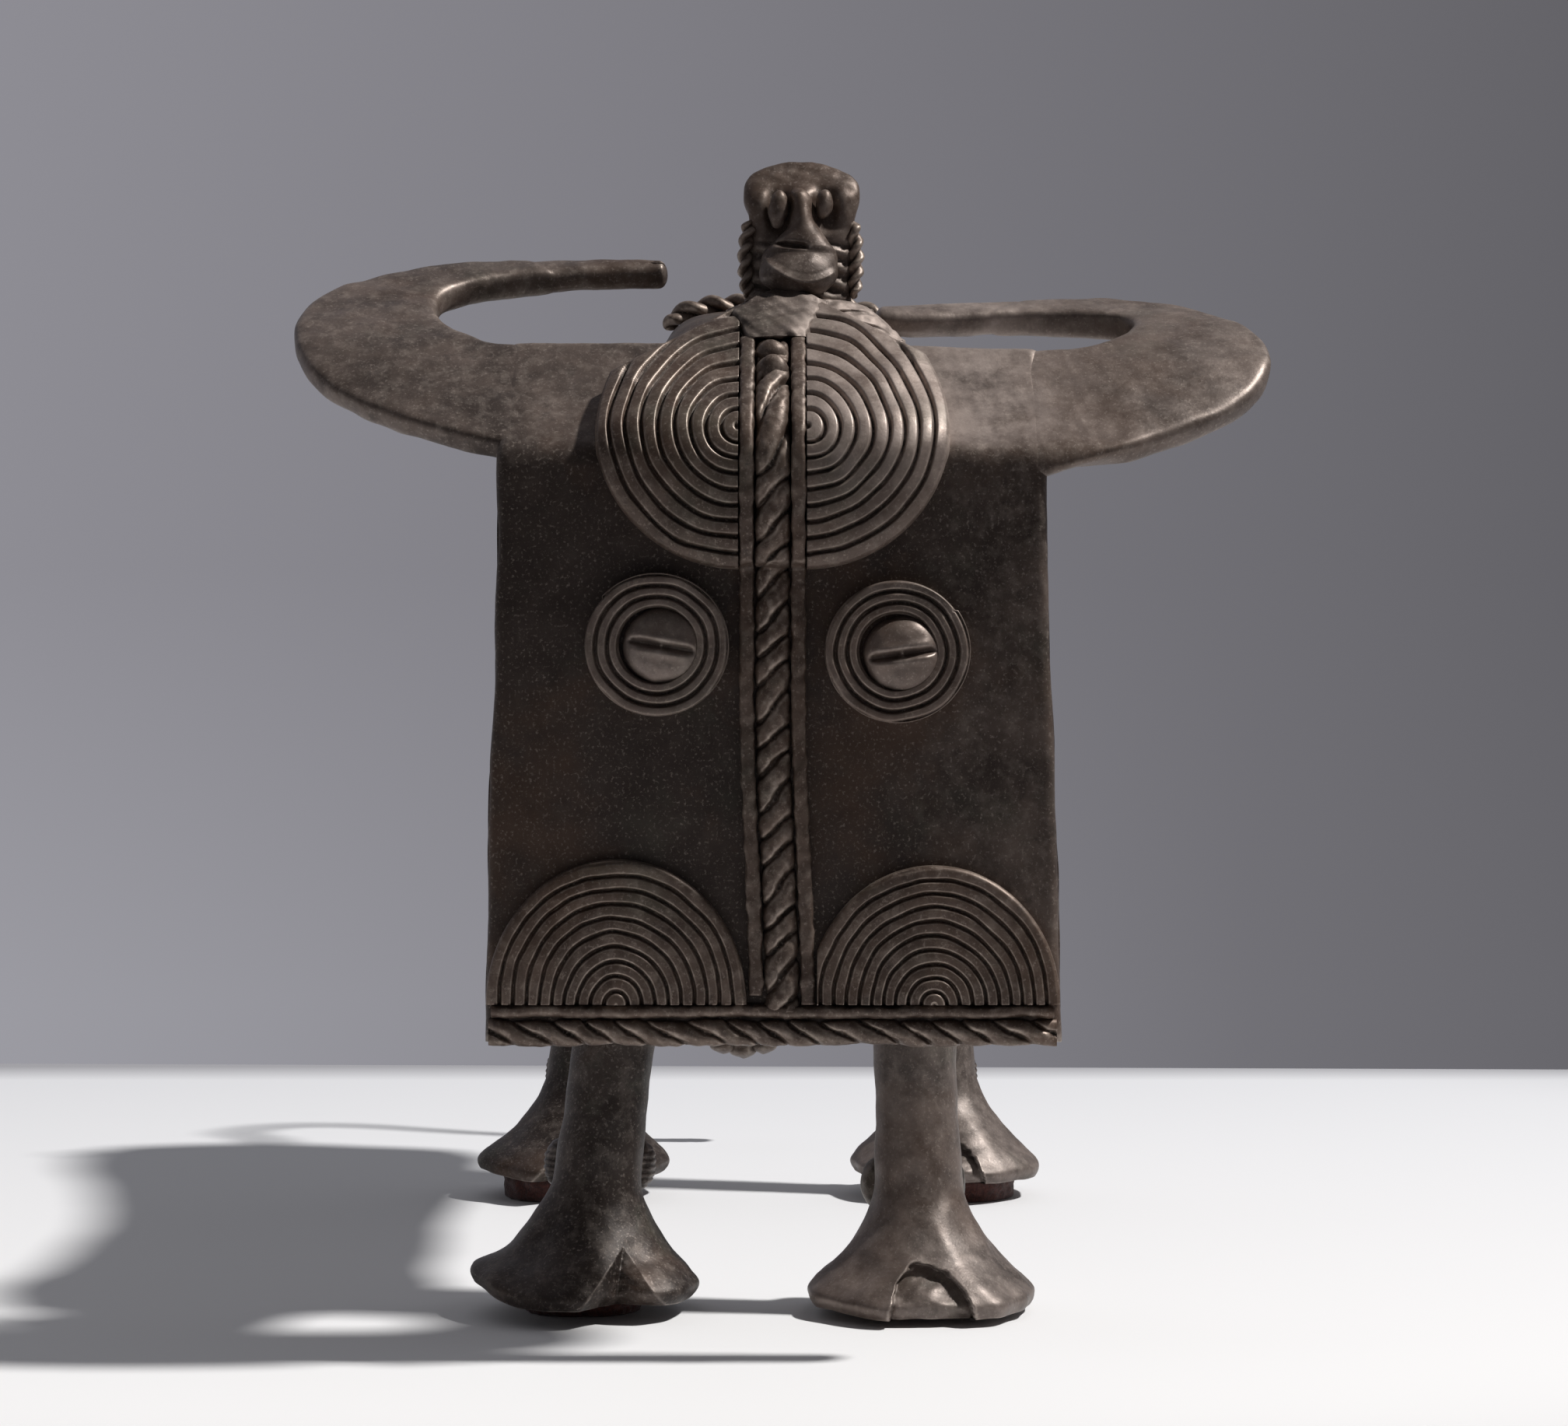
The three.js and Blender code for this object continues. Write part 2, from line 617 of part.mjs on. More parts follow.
// Small head: a flat nape under a broad crest, with a bowl-shaped muzzle hanging in front of it
function smallHead(grow = 0) {
  const at = (rise, out, halfWidth, halfDepth) => levelRing(
    HEAD_X, HEAD_Y - out, MOUND_TOP + rise, halfWidth + grow, halfDepth + grow);
  const above = (share) => lerp(CREST_RISE, HEAD_HEIGHT, share);
  const crest = loft([
    at(0, 0, NAPE_HALF_WIDTH, 0.85 * CREST_HALF_DEPTH),
    at(0.8 * CREST_RISE, 0, 0.95 * NAPE_HALF_WIDTH, 0.85 * CREST_HALF_DEPTH),
    at(CREST_RISE, 0, 0.74 * CREST_HALF_WIDTH, 0.9 * CREST_HALF_DEPTH),
    at(above(0.26), 0, 0.9 * CREST_HALF_WIDTH, CREST_HALF_DEPTH),
    at(above(0.52), 0, CREST_HALF_WIDTH, CREST_HALF_DEPTH),
    at(above(0.78), 0, 0.92 * CREST_HALF_WIDTH, 0.84 * CREST_HALF_DEPTH),
    at(above(0.94), 0, 0.68 * CREST_HALF_WIDTH, 0.56 * CREST_HALF_DEPTH),
    at(HEAD_HEIGHT, 0, 0.36 * CREST_HALF_WIDTH, 0.26 * CREST_HALF_DEPTH),
  ]);
  const bowl = [[0, 0.3], [0.16, 0.66], [0.42, 0.93], [0.7, 1], [0.86, 0.9], [1, 0.66]];
  const bowlHeight = 0.8 * CREST_RISE - MUZZLE_DROP;
  const muzzle = loft([
    ...bowl.map(([t, share]) => at(
      MUZZLE_DROP + t * bowlHeight, MUZZLE_OUT, share * MUZZLE_HALF_WIDTH, share * MUZZLE_HALF_DEPTH)),
    at(0.5 * (CREST_RISE + NOSE_TOP_RISE), 0.8 * CREST_HALF_DEPTH, 1.7 * NOSE_RIDGE_HALF_WIDTH, 1.4),
    at(NOSE_TOP_RISE, 0.6 * CREST_HALF_DEPTH, NOSE_RIDGE_HALF_WIDTH, 1),
  ]);
  return join(crest, muzzle);
}

function smallEye(side) {
  const { across, rise, halfWidth, halfHeight, halfDepth } = SMALL_EYE;
  const ball = new THREE.SphereGeometry(1, 10, 6);
  ball.scale(halfWidth, halfDepth, halfHeight);
  ball.translate(HEAD_X + side * across, HEAD_Y - CREST_HALF_DEPTH - CLEARANCE, MOUND_TOP + rise);
  return cut(ball, smallHead(CLEARANCE));
}

// Twisted rope round a path, its strands turning once in two pitches
function twistedRope(path, radius, pitch, around = 7) {
  const length = path.getLength();
  const count = Math.max(8, Math.round((FACETS_PER_TWIST * length) / pitch));
  const frames = path.computeFrenetFrames(count, false);
  const rings = steps(count).map((s, i) => {
    const middle = path.getPointAt(s);
    const twist = (Math.PI * s * length) / pitch;
    return turns(around).map((angle) => {
      const r = radius * (0.86 + 0.14 * Math.cos(2 * (angle - twist)));
      return middle.clone().addScaledVector(frames.normals[i], r * Math.cos(angle))
        .addScaledVector(frames.binormals[i], r * Math.sin(angle));
    });
  });
  return loft(rings);
}

// Twisted braid from the crest down beside the nape to the mound
function braid(side) {
  const reach = NAPE_HALF_WIDTH + CLEARANCE + BRAID_RADIUS;
  const at = (out, share) => new THREE.Vector3(
    HEAD_X + side * (reach + out), HEAD_Y, MOUND_TOP + share * BRAID_RISE);
  const path = new THREE.CatmullRomCurve3([at(-0.3, 1), at(0.3, 0.66), at(0.2, 0.33), at(-0.2, 0.05)]);
  return cut(twistedRope(path, BRAID_RADIUS, TWIST_PITCH * 0.6), smallHead(CLEARANCE), mound(CLEARANCE));
}

function crownCollar() {
  const path = new THREE.CatmullRomCurve3(steps(6).map((t) => {
    const angle = t * Math.PI;
    return new THREE.Vector3(
      HEAD_X - COLLAR_HALF_WIDTH * Math.cos(angle),
      HEAD_Y + COLLAR_RADIUS + COLLAR_HALF_DEPTH * Math.sin(angle),
      MOUND_TOP - COLLAR_DROP * (1 - Math.sin(angle)));
  }));
  const rope = twistedRope(path, COLLAR_RADIUS, TWIST_PITCH * 0.7);
  return cut(rope, mound(CLEARANCE), facePlate(CLEARANCE), smallHead(CLEARANCE));
}

function rumpRope() {
  const station = stationAt(BODY_LENGTH - RUMP_ROPE_AHEAD);
  const away = RUMP_ROPE_RADIUS + CLEARANCE;
  const path = new THREE.CatmullRomCurve3(steps(8).map((t) => bodyPoint(
    station, RUMP_SQUARENESS, away, lerp(radians(132), radians(48), t))));
  return cut(twistedRope(path, RUMP_ROPE_RADIUS, TWIST_PITCH * 1.2), body(CLEARANCE));
}

// The barrel's station at any place along it
function stationAt(y) {
  const next = BODY_STATIONS.findIndex((station) => station.y > y);
  const a = BODY_STATIONS[next - 1];
  const b = BODY_STATIONS[next];
  const t = (y - a.y) / (b.y - a.y);
  return {
    y,
    z: lerp(a.z, b.z, t),
    halfWidth: lerp(a.halfWidth, b.halfWidth, t),
    halfHeight: lerp(a.halfHeight, b.halfHeight, t),
  };
}

function tailPath() {
  const rump = BODY_STATIONS[BODY_STATIONS.length - 1];
  const at = (aside, behind, z) => new THREE.Vector3(
    aside * TAIL_END.x, rump.y + behind * TAIL_BEHIND, z);
  const top = rump.z + TAIL_RISE;
  const height = top - TAIL_END.z;
  const forward = TAIL_END.forward / TAIL_BEHIND;
  return new THREE.CatmullRomCurve3([
    at(0, 0, rump.z),
    at(0, 0.23, rump.z + 0.26 * TAIL_RISE),
    at(0.13, 0.5, top),
    at(0.25, 0.88, top - 0.07 * height),
    at(0.4, 1, top - 0.24 * height),
    at(0.7, 1 - 0.55 * forward, TAIL_END.z + 0.42 * height),
    at(1, 1 - forward, TAIL_END.z + 0.07 * height),
    at(1, 1 - forward, TAIL_END.z),
  ], false, 'centripetal');
}

function tail() {
  const path = tailPath();
  const count = 26;
  const frames = path.computeFrenetFrames(count, false);
  const flatStart = new THREE.Vector3(0, 1, 0);
  const rings = steps(count).map((s, i) => {
    const middle = path.getPointAt(s);
    const radius = lerp(TAIL_RADIUS, TAIL_TIP_RADIUS, s);
    return turns(7).map((angle) => {
      const p = middle.clone().addScaledVector(frames.normals[i], radius * Math.cos(angle))
        .addScaledVector(frames.binormals[i], radius * Math.sin(angle));
      return i === 0 ? p.addScaledVector(flatStart, middle.y - p.y) : p;
    });
  });
  return loft(rings);
}

// Three long drops side by side
function tailTuft() {
  const top = TAIL_END.z - CLEARANCE;
  const y = BODY_LENGTH + TAIL_BEHIND - TAIL_END.forward;
  const profile = [
    { t: 0, share: 0.3, out: 0.5 }, { t: 0.12, share: 0.55, out: 0.35 }, { t: 0.45, share: 0.9, out: 0.8 },
    { t: 0.8, share: 1, out: 1 }, { t: 0.94, share: 0.75, out: 1 }, { t: 1, share: 0.3, out: 1 }];
  const lobes = [-1, 0, 1].map((place) => {
    const spread = place * TUFT_LOBE_RADIUS * 1.45;
    const length = TUFT_LENGTH * (place === 0 ? 1 : 0.93);
    return loft(profile.map(({ t, share, out }) => {
      const radius = TUFT_LOBE_RADIUS * share;
      return levelRing(TAIL_END.x + spread * out, y, top - t * length, radius, radius, 8);
    }));
  });
  return join(...lobes);
}

// Heights over the sole and the radii there: hoof, shaft, then the swell of the shoulder or haunch
function legProfile(pad) {
  const hoof = [[0, 0.985], [0.08, 1], [0.22, 0.93], [0.42, 0.75], [0.68, 0.57], [1, 0.42]];
  return [
    ...hoof.map(([height, radius]) => [height * HOOF_HEIGHT, radius * HOOF_RADIUS]),
    [1.5 * HOOF_HEIGHT, SHAFT_RADIUS],
    [(SHIN_Z + SHAFT_TOP_Z) / 2 - pad, SHAFT_RADIUS],
    [SHAFT_TOP_Z - pad, SHAFT_RADIUS],
    [HIP_SWELL_Z - SWELL_HEIGHT - pad, 0.5 * (SHAFT_RADIUS + HIP_RADIUS)],
    [HIP_SWELL_Z - pad, HIP_RADIUS],
    [HIP_SWELL_Z + SWELL_HEIGHT - pad, 0.9 * HIP_RADIUS],
    [HIP_Z - pad, 0.4 * HIP_RADIUS],
  ];
}

function legRadius(height, pad) {
  const points = legProfile(pad);
  const next = Math.max(1, points.findIndex(([h]) => h >= height));
  const [h0, r0] = points[next - 1];
  const [h1, r1] = points[next];
  return lerp(r0, r1, (height - h0) / (h1 - h0));
}

// Middle of a leg at a height over the floor
function legMiddle({ hip, shin, hoof, pad, footY, hipY }, z) {
  const path = new THREE.SplineCurve([
    new THREE.Vector2(hoof, pad), new THREE.Vector2((hoof + shin) / 2, (pad + SHIN_Z) / 2),
    new THREE.Vector2(shin, SHIN_Z), new THREE.Vector2(hip, HIP_Z)]);
  const points = path.getPoints(60);
  const next = Math.max(1, points.findIndex((p) => p.y >= z));
  const a = points[next - 1];
  const b = points[next];
  return {
    x: lerp(a.x, b.x, clamp((z - a.y) / (b.y - a.y), 0, 1)),
    y: lerp(footY, hipY, (z - pad) / (HIP_Z - pad)),
  };
}

function legShape(place, grow = 0) {
  return loft(legProfile(place.pad).map(([height, radius]) => {
    const z = place.pad + height;
    const { x, y } = legMiddle(place, z);
    return levelRing(x, y, z, radius + grow, radius + grow, 16);
  }));
}

// Front view of the cleft: a sharp gable, or on the right feet a rounded arch
function cleftOutline(arched) {
  const half = CLEFT_WIDTH / 2;
  const arch = steps(5).map((t) => [
    0.88 * half * Math.cos(t * Math.PI), CLEFT_HEIGHT * (0.2 + 0.74 * Math.sin(t * Math.PI))]);
  const gable = [[0.84 * half, 0.07 * CLEFT_HEIGHT], [0, CLEFT_HEIGHT], [-0.84 * half, 0.07 * CLEFT_HEIGHT]];
  const crown = arched ? arch : gable;
  const points = [[-half, -1], [half, -1], ...crown];
  return new THREE.Shape(points.map(([x, z]) => new THREE.Vector2(x, z)));
}

// Leg with the cleft cut into the front of its hoof, ending under the barrel it carries
function leg(place) {
  const outline = cleftOutline(place.arched);
  const cleft = new THREE.ExtrudeGeometry(outline, { depth: CLEFT_DEPTH, bevelEnabled: false });
  cleft.rotateX(Math.PI / 2);
  cleft.translate(place.hoof, place.footY - HOOF_RADIUS + CLEFT_DEPTH - 1, place.pad);
  return cut(legShape(place), cleft, body(CLEARANCE));
}

// Ridged knob behind the leg, standing on its end
function dewclaw(place, side) {
  const z = place.dewclaw;
  const reach = legRadius(z - place.pad, place.pad) + 0.7 * DEWCLAW_RADIUS;
  const middle = legMiddle(place, z);
  const x = middle.x + side * reach * Math.sin(DEWCLAW_ANGLE);
  const y = middle.y + reach * Math.cos(DEWCLAW_ANGLE);
  const profile = ringProfile(DEWCLAW_RINGS).map(({ t, peak }) => {
    const bulge = Math.sqrt(Math.max(0.12, 1 - (1.7 * (t - 0.5)) ** 2));
    return [z + (t - 0.5) * DEWCLAW_HEIGHT, DEWCLAW_RADIUS * bulge * (peak ? 1 : 0.86)];
  });
  const knob = loft(profile.map(([height, radius]) => levelRing(x, y, height, radius, radius, 9)));
  return cut(knob, legShape(place, CLEARANCE));
}

// Pad cut from sheet, a rounded patch smaller than the hoof
function footPad(place) {
  const outline = new THREE.Shape(turns(16).map((angle) => new THREE.Vector2(
    place.hoof + place.padRadius * squared(Math.cos(angle), PAD_SQUARENESS),
    place.footY + place.padBack + place.padRadius * squared(Math.sin(angle), PAD_SQUARENESS))));
  return new THREE.ExtrudeGeometry(outline, { depth: place.pad, bevelEnabled: false });
}

const figure = new THREE.Group();

function add(name, geometry, material = bronze) {
  const mesh = new THREE.Mesh(geometry, material);
  mesh.name = name;
  figure.add(mesh);
}

const SIDES = { left: -1, right: 1 };

add('face_plate', facePlate());
add('left_horn', horn(LEFT_HORN, SIDES.left));
add('right_horn', horn(RIGHT_HORN, SIDES.right));
add('nose_rope', noseRope());
add('chin_bar', chinBar());
add('chin_rope', chinRope());
add('neck', cut(neck(), facePlate(CLEARANCE)));
add('body', body());
add('crown_mound', cut(mound(), neck(CLEARANCE), facePlate(CLEARANCE)));
add('crown_collar', crownCollar());
add('small_head', smallHead());
add('rump_rope', rumpRope());
add('tail', tail());
add('tail_tuft', tailTuft());

for (const [name, side] of Object.entries(SIDES)) {
  add(`forehead_coil_${name}`, foreheadCoil(side));
  add(`nose_border_${name}`, noseBorder(side));
  add(`eye_coil_${name}`, eyeCoil(side));
  add(`eye_${name}`, eye(side));
  add(`cheek_arcs_${name}`, cheekArcs(side));
  add(`small_eye_${name}`, smallEye(side));
  add(`small_braid_${name}`, braid(side));
}

for (const [name, place] of Object.entries(LEGS)) {
  add(`${name}_leg`, leg(place));
  add(`${name}_pad`, footPad(place), padding);
  for (const [end, side] of Object.entries(SIDES)) {
    add(`${name}_dewclaw_${end}`, dewclaw(place, side));
  }
}

// The origin is under the middle of the whole figure, on the surface that it stands on
const bounds = new THREE.Box3().setFromObject(figure);
const middle = bounds.getCenter(new THREE.Vector3());
figure.position.set(-middle.x, -middle.y, -bounds.min.z);

export default figure;
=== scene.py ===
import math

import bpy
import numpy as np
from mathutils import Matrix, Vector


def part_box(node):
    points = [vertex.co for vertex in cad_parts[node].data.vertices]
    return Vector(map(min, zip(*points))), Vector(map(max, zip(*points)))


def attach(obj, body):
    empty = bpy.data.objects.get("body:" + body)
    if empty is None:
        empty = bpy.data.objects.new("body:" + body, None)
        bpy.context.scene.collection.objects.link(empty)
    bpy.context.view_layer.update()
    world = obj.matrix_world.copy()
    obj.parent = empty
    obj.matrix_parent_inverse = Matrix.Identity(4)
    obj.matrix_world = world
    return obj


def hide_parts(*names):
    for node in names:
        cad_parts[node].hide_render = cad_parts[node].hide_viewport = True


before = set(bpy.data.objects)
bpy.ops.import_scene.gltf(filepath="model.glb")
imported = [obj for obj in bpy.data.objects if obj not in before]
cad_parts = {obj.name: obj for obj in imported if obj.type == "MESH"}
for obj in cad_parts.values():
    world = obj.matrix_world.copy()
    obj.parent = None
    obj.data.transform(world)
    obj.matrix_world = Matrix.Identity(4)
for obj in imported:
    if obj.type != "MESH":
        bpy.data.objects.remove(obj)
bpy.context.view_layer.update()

# Looks of a cast bronze buffalo figurine with a flat ornamented mask face.
# Shapes are worked out in millimetres, in the maker's own frame: x from the middle of the mask, y from the
# chest (the mask's front face is at -24), z from the floor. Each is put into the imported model's frame in
# metres. "Left" is the side of -x, and the buffalo looks along -y.

MM = 0.001
UPRIGHT = math.radians(90)
MASK_FRONT = -24.0
MASK_LOW, MASK_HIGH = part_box("face_plate")
ORIGIN = np.array([(MASK_LOW.x + MASK_HIGH.x) / 2, MASK_LOW.y - MASK_FRONT * MM, 0.0])

# The camera, in millimetres in the maker's frame
CAMERA_X = 1.1
CAMERA_Y = -400.0
CAMERA_Z = 69.1

# Mask: flat below the fold, sloping back over the brow, and flatter again behind it
MASK_THICKNESS = 2.6
CHIN_Z = 30.8
CHIN_WIDTH = 56.2
BROW_WIDTH = 53.0
FOLD_Z = 86.6
FOLD_RADIUS = 3.0
BROW_SLOPE = math.radians(41)
STRAIGHT_BROW = 11.4
FLATTENING = 12.0
BROW_REACH = 19.4
BROW_TILT = 1.0
TILT_FROM = 6.0
FOLD_LENGTH = FOLD_RADIUS * (UPRIGHT - BROW_SLOPE)
EDGE_ROUND = 1.2

# Horns in the sheet's flat pattern: out from the brow's side edge, and up from the fold
HORNS = {
    "left": {
        "side": -1, "far_slope": math.radians(26),
        "outer": [(-2.6, 2.2), (0, 2.8), (10.1, 7), (18.5, 13.2), (21.9, 22.8), (19.7, 32), (12.1, 38.4),
                  (0.5, 41.8), (-15.5, 42.2)],
        "inner": [(-2.6, 19.2), (0, 19.4), (3.7, 21.2), (6.7, 24.6), (7.9, 28.4), (7.2, 32.6), (3.5, 35.8),
                  (-2.9, 37.8), (-15.5, 39.4)],
    },
    "right": {
        "side": 1, "far_slope": math.radians(19),
        "outer": [(-2.6, -1.6), (0, -1), (12.1, 4.3), (20.2, 9.9), (23.3, 17), (20.8, 25.6), (15, 32.2),
                  (3, 34.9), (-9.5, 33.2), (-16.1, 32.2)],
        "inner": [(-2.6, 17.9), (0, 18.35), (4.9, 19.4), (8.3, 22), (9.9, 24.8), (9.1, 27.4), (5.5, 28.8),
                  (-2.5, 29.4), (-11, 28.6), (-16.1, 28.8)],
    },
}
HORN_THICKNESS = 2.6
HORN_TIP_THICKNESS = 2.9
HORN_TIP_START = 0.985

# Forehead domes, nose band, eyes, cheeks and chin
BAND_HALF_WIDTH = 3.3
DOME_RADIUS = 13.84
DOME_CENTRE_Z = 90.5
CROWN_LINE = 104.6
CROWN_FALL = 0.5
CROWN_X = 1.2
DOME_HEIGHT = 4.8
DOME_EDGE_HEIGHT = 1.2
DOME_RINGS = 9
GROOVE_DEPTH = 0.55
GROOVE_WIDTH = 0.12
STRIP_WIDTH = 1.4
STRIP_MIDDLE = 2.5
STRIP_HEIGHT = 1.3
NOSE_ROPE_HALF_WIDTH = 1.72
NOSE_ROPE_HEIGHT = 1.5
LUMP_PITCH = 2.9
LUMP_SLANT = 0.75
BAND_TOP = 14.2
BAND_BOTTOM = 34.8 - FOLD_Z
EYES = {
    "left": {"coil": (-11.2, 69.3), "boss": (-10.7, 69.2), "slit_turn": math.radians(-10), "wound": 2.4},
    "right": {"coil": (12.0, 68.7), "boss": (12.5, 68.4), "slit_turn": math.radians(8), "wound": 0.6},
}
EYE_COIL_RADIUS = 7.0
EYE_BOSS_RADIUS = 3.5
EYE_COIL_HEIGHT = 1.9
EYE_BOSS_HEIGHT = 2.9
EYE_RINGS = 3
CHEEKS = {"left": (-15.1, 12.6, 14.0), "right": (15.6, 12.2, 13.4)}
CHEEK_BASE = 34.6
CHEEK_RELIEF = 1.5
CHEEK_RINGS = 10
CHIN_BAR_Z = 33.9
CHIN_BAR_HALF_WIDTH = 0.66
CHIN_BAR_HEIGHT = 1.3
CHIN_ROPE_Z = 31.85
CHIN_ROPE_HALF_WIDTH = 1.3
CHIN_ROPE_HEIGHT = 1.35
CHIN_LUMP_PITCH = 3.35
CHIN_LUMP_SLANT = -0.8
CHIN_HALF_WIDTH = CHIN_WIDTH / 2 - 0.9

# Crown: hill, small head, braids and collar
HEAD_X = 2.8
HEAD_Y = -5.5
HILL_TOP = 104.0
SADDLE_FOOT = 98.6
SADDLE_X = 0.4
SADDLE_HALF_WIDTH = 3.3
SADDLE_SPREAD = 1.7
HILL_FOOT = 93.4
HILL_HEIGHT = 4.0
HILL_TOP_HALF_WIDTH = 4.7
HILL_FOOT_HALF_WIDTH = 10.4
COLLAR_HALF_WIDTH = 7.4
COLLAR_DEPTH = 3.9
COLLAR_BEHIND = 1.1
COLLAR_DROP = 2.4
COLLAR_RADIUS = 1.1
COLLAR_PITCH = 2.0
MUZZLE_HALF_WIDTH = 4.3
BRAID_GAP = 0.3
BRAID_RADIUS = 0.85
BRAID_PITCH = 1.5
ROPE_PLUMPNESS = 0.58
SMALL_EYES = {"left": (-2.25, 9.2, 1.0, 1.95), "right": (2.35, 9.7, 0.88, 1.5)}

# Barrel, from chest to rump: place along it, middle height, half width and half height
BARREL_LENGTH = (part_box("body")[1].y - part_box("body")[0].y) / MM
BARREL = [
    (0, 85, 9, 11), (2.5, 84.2, 12.6, 15.4), (9, 83.4, 15.2, 18.6), (30, 83, 15, 17.6),
    (0.47 * BARREL_LENGTH, 84.2, 14.4, 17.4), (BARREL_LENGTH - 38, 87, 15.2, 20.6),
    (BARREL_LENGTH - 20, 90, 16.2, 22.8), (BARREL_LENGTH - 9, 91.2, 15.6, 22),
    (BARREL_LENGTH - 3, 93, 12, 17), (BARREL_LENGTH, 97.5, 5.5, 8),
]

# Neck, from mask to chest: middle height, half width and half height
NECK = [(80, 6.5, 6), (86, 8, 9.4), (85, 9, 11)]

# Rump rope and tail
RUMP_ROPE_AHEAD = 11
RUMP_ROPE_RADIUS = 1.6
RUMP_ROPE_PITCH = 3.5
TAIL_BEHIND = 22
TAIL_RISE = 8
TAIL_END = (-4.6, 21.0)
TAIL_FORWARD = 11
TAIL_RADIUS = 1.7
TAIL_TIP_RADIUS = 1.1
TUFT_RADIUS = 1.9
TUFT_LENGTH = 9.2

# Legs
HOOF_RADIUS = 11.9
HOOF_HEIGHT = 10.5
SHAFT_RADIUS = 4.5
HIP_RADIUS = 7.0
HIP_Z = 84.0
SHIN_Z = 26.0
FRONT_PLACE = {"foot_y": 4.0, "hip_y": 11.0, "pad_back": 2.0}
REAR_PLACE = {"foot_y": BARREL_LENGTH - 41, "hip_y": BARREL_LENGTH - 29, "pad_back": 0.0}
LEGS = {
    "front_left": {**FRONT_PLACE, "hip": -9.5, "shin": -16.9, "hoof": -19.9, "pad": 1.8, "pad_radius": 6.1,
                   "dewclaw": 14.6, "cleft": 3.8, "cleft_sides": (3.5, 5.2), "arched": False, "lift": 2.0},
    "front_right": {**FRONT_PLACE, "hip": 9.5, "shin": 14.8, "hoof": 15.5, "pad": 0.8, "pad_radius": 7.0,
                    "dewclaw": 12.6, "cleft": -0.4, "cleft_sides": (3.3, 5.4), "arched": True, "lift": 0.4},
    "rear_left": {**REAR_PLACE, "hip": -10.5, "shin": -23.2, "hoof": -25.6, "pad": 2.9, "pad_radius": 8.6,
                  "dewclaw": 14.6, "cleft": 0.0, "cleft_sides": (4.5, 4.5), "arched": False, "lift": 0.8},
    "rear_right": {**REAR_PLACE, "hip": 10.5, "shin": 20.2, "hoof": 21.5, "pad": 2.6, "pad_radius": 8.6,
                   "dewclaw": 14.6, "cleft": 0.0, "cleft_sides": (4.5, 4.5), "arched": True, "lift": 0.3},
}
CLEFT_HEIGHT = 5.8
GABLE_DEPTH = 3.6
ARCH_DEPTH = 1.5
DEWCLAW_RADIUS = 2.4
DEWCLAW_HEIGHT = 5.6
DEWCLAW_RIDGE = 0.06
SMALL_CLAW = 0.75
DEWCLAW_ANGLE = math.radians(38)
PAD_EDGE = 0.35


def squared(value, power):
    """Cosine or sine raised to a rounded square's power: the sign times the size to the power 2 / power."""
    return np.sign(value) * np.abs(value) ** (2 / power)


def smooth(a, b, x):
    """Rises from 0 at a to 1 at b as 3 t^2 - 2 t^3."""
    t = np.clip((x - a) / (b - a), 0, 1)
    return t * t * (3 - 2 * t)


def steps(count):
    """Even steps from 0 to 1, with both ends."""
    return np.linspace(0, 1, count + 1)


def turns(count):
    """Even angles of one full turn, without its end."""
    return np.arange(count) * 2 * math.pi / count


def spline(values, t, places=None):
    """Smooth curve through rows of values: cubic Hermite pieces whose slope at a row is that between its
    neighbours."""
    values = np.asarray(values, float)
    places = steps(len(values) - 1) if places is None else np.asarray(places, float)
    slopes = np.gradient(values, places, axis=0)
    i = np.clip(np.searchsorted(places, t, side="right") - 1, 0, len(places) - 2)
    span = places[i + 1] - places[i]
    s = (t - places[i]) / span
    if values.ndim == 2:
        span = span[:, None]
        s = s[:, None]
    rise = s * s * (3 - 2 * s)
    return (
        values[i] * (1 - rise) + values[i + 1] * rise
        + span * s * (1 - s) * ((1 - s) * slopes[i] - s * slopes[i + 1])
    )


def waves(points, size, seed):
    """Smooth random height, mostly from -1 to 1: a sum of sines in random directions, each about one size
    long."""
    rng = np.random.default_rng(seed)
    count = 16
    directions = rng.normal(size=(count, 3))
    directions /= np.linalg.norm(directions, axis=1, keepdims=True)
    rates = 2 * math.pi / (size * rng.uniform(0.6, 1.7, count))
    phases = rng.uniform(0, 2 * math.pi, count)
    return np.sin((points @ directions.T) * rates + phases).sum(-1) / math.sqrt(1.6 * count)


def sheet_line(along, far_slope=BROW_SLOPE):
    """The bent sheet in side view. A stretch that turns is an arc of constant curvature, the others are
    straight. Gives y, z and slope of its front face at a distance along it from the fold."""
    turned = np.clip(along, 0, FOLD_LENGTH) / FOLD_RADIUS
    straight = np.clip(along - FOLD_LENGTH, 0, STRAIGHT_BROW)
    bent = np.clip(along - FOLD_LENGTH - STRAIGHT_BROW, 0, FLATTENING)
    rest = np.maximum(along - FOLD_LENGTH - STRAIGHT_BROW - FLATTENING, 0)
    curvature = max(BROW_SLOPE - far_slope, 1e-6) / FLATTENING
    eased = BROW_SLOPE - curvature * bent
    y = MASK_FRONT + FOLD_RADIUS * (1 - np.cos(turned)) + math.cos(BROW_SLOPE) * straight
    y = y + (math.sin(BROW_SLOPE) - np.sin(eased)) / curvature + math.cos(far_slope) * rest
    z = FOLD_Z + np.minimum(along, 0) + FOLD_RADIUS * np.sin(turned) + math.sin(BROW_SLOPE) * straight
    z = z + (np.cos(eased) - math.cos(BROW_SLOPE)) / curvature + math.sin(far_slope) * rest
    slope = np.where(along <= FOLD_LENGTH, UPRIGHT - turned, eased)
    return y, z, slope


def on_sheet(x, along, height, far_slope=BROW_SLOPE):
    """Point at a height over the bent sheet's front face, measured square to it."""
    y, z, slope = sheet_line(along, far_slope)
    x, y, z = np.broadcast_arrays(x, y - np.sin(slope) * height, z + np.cos(slope) * height)
    return np.stack([x, y, z], -1)


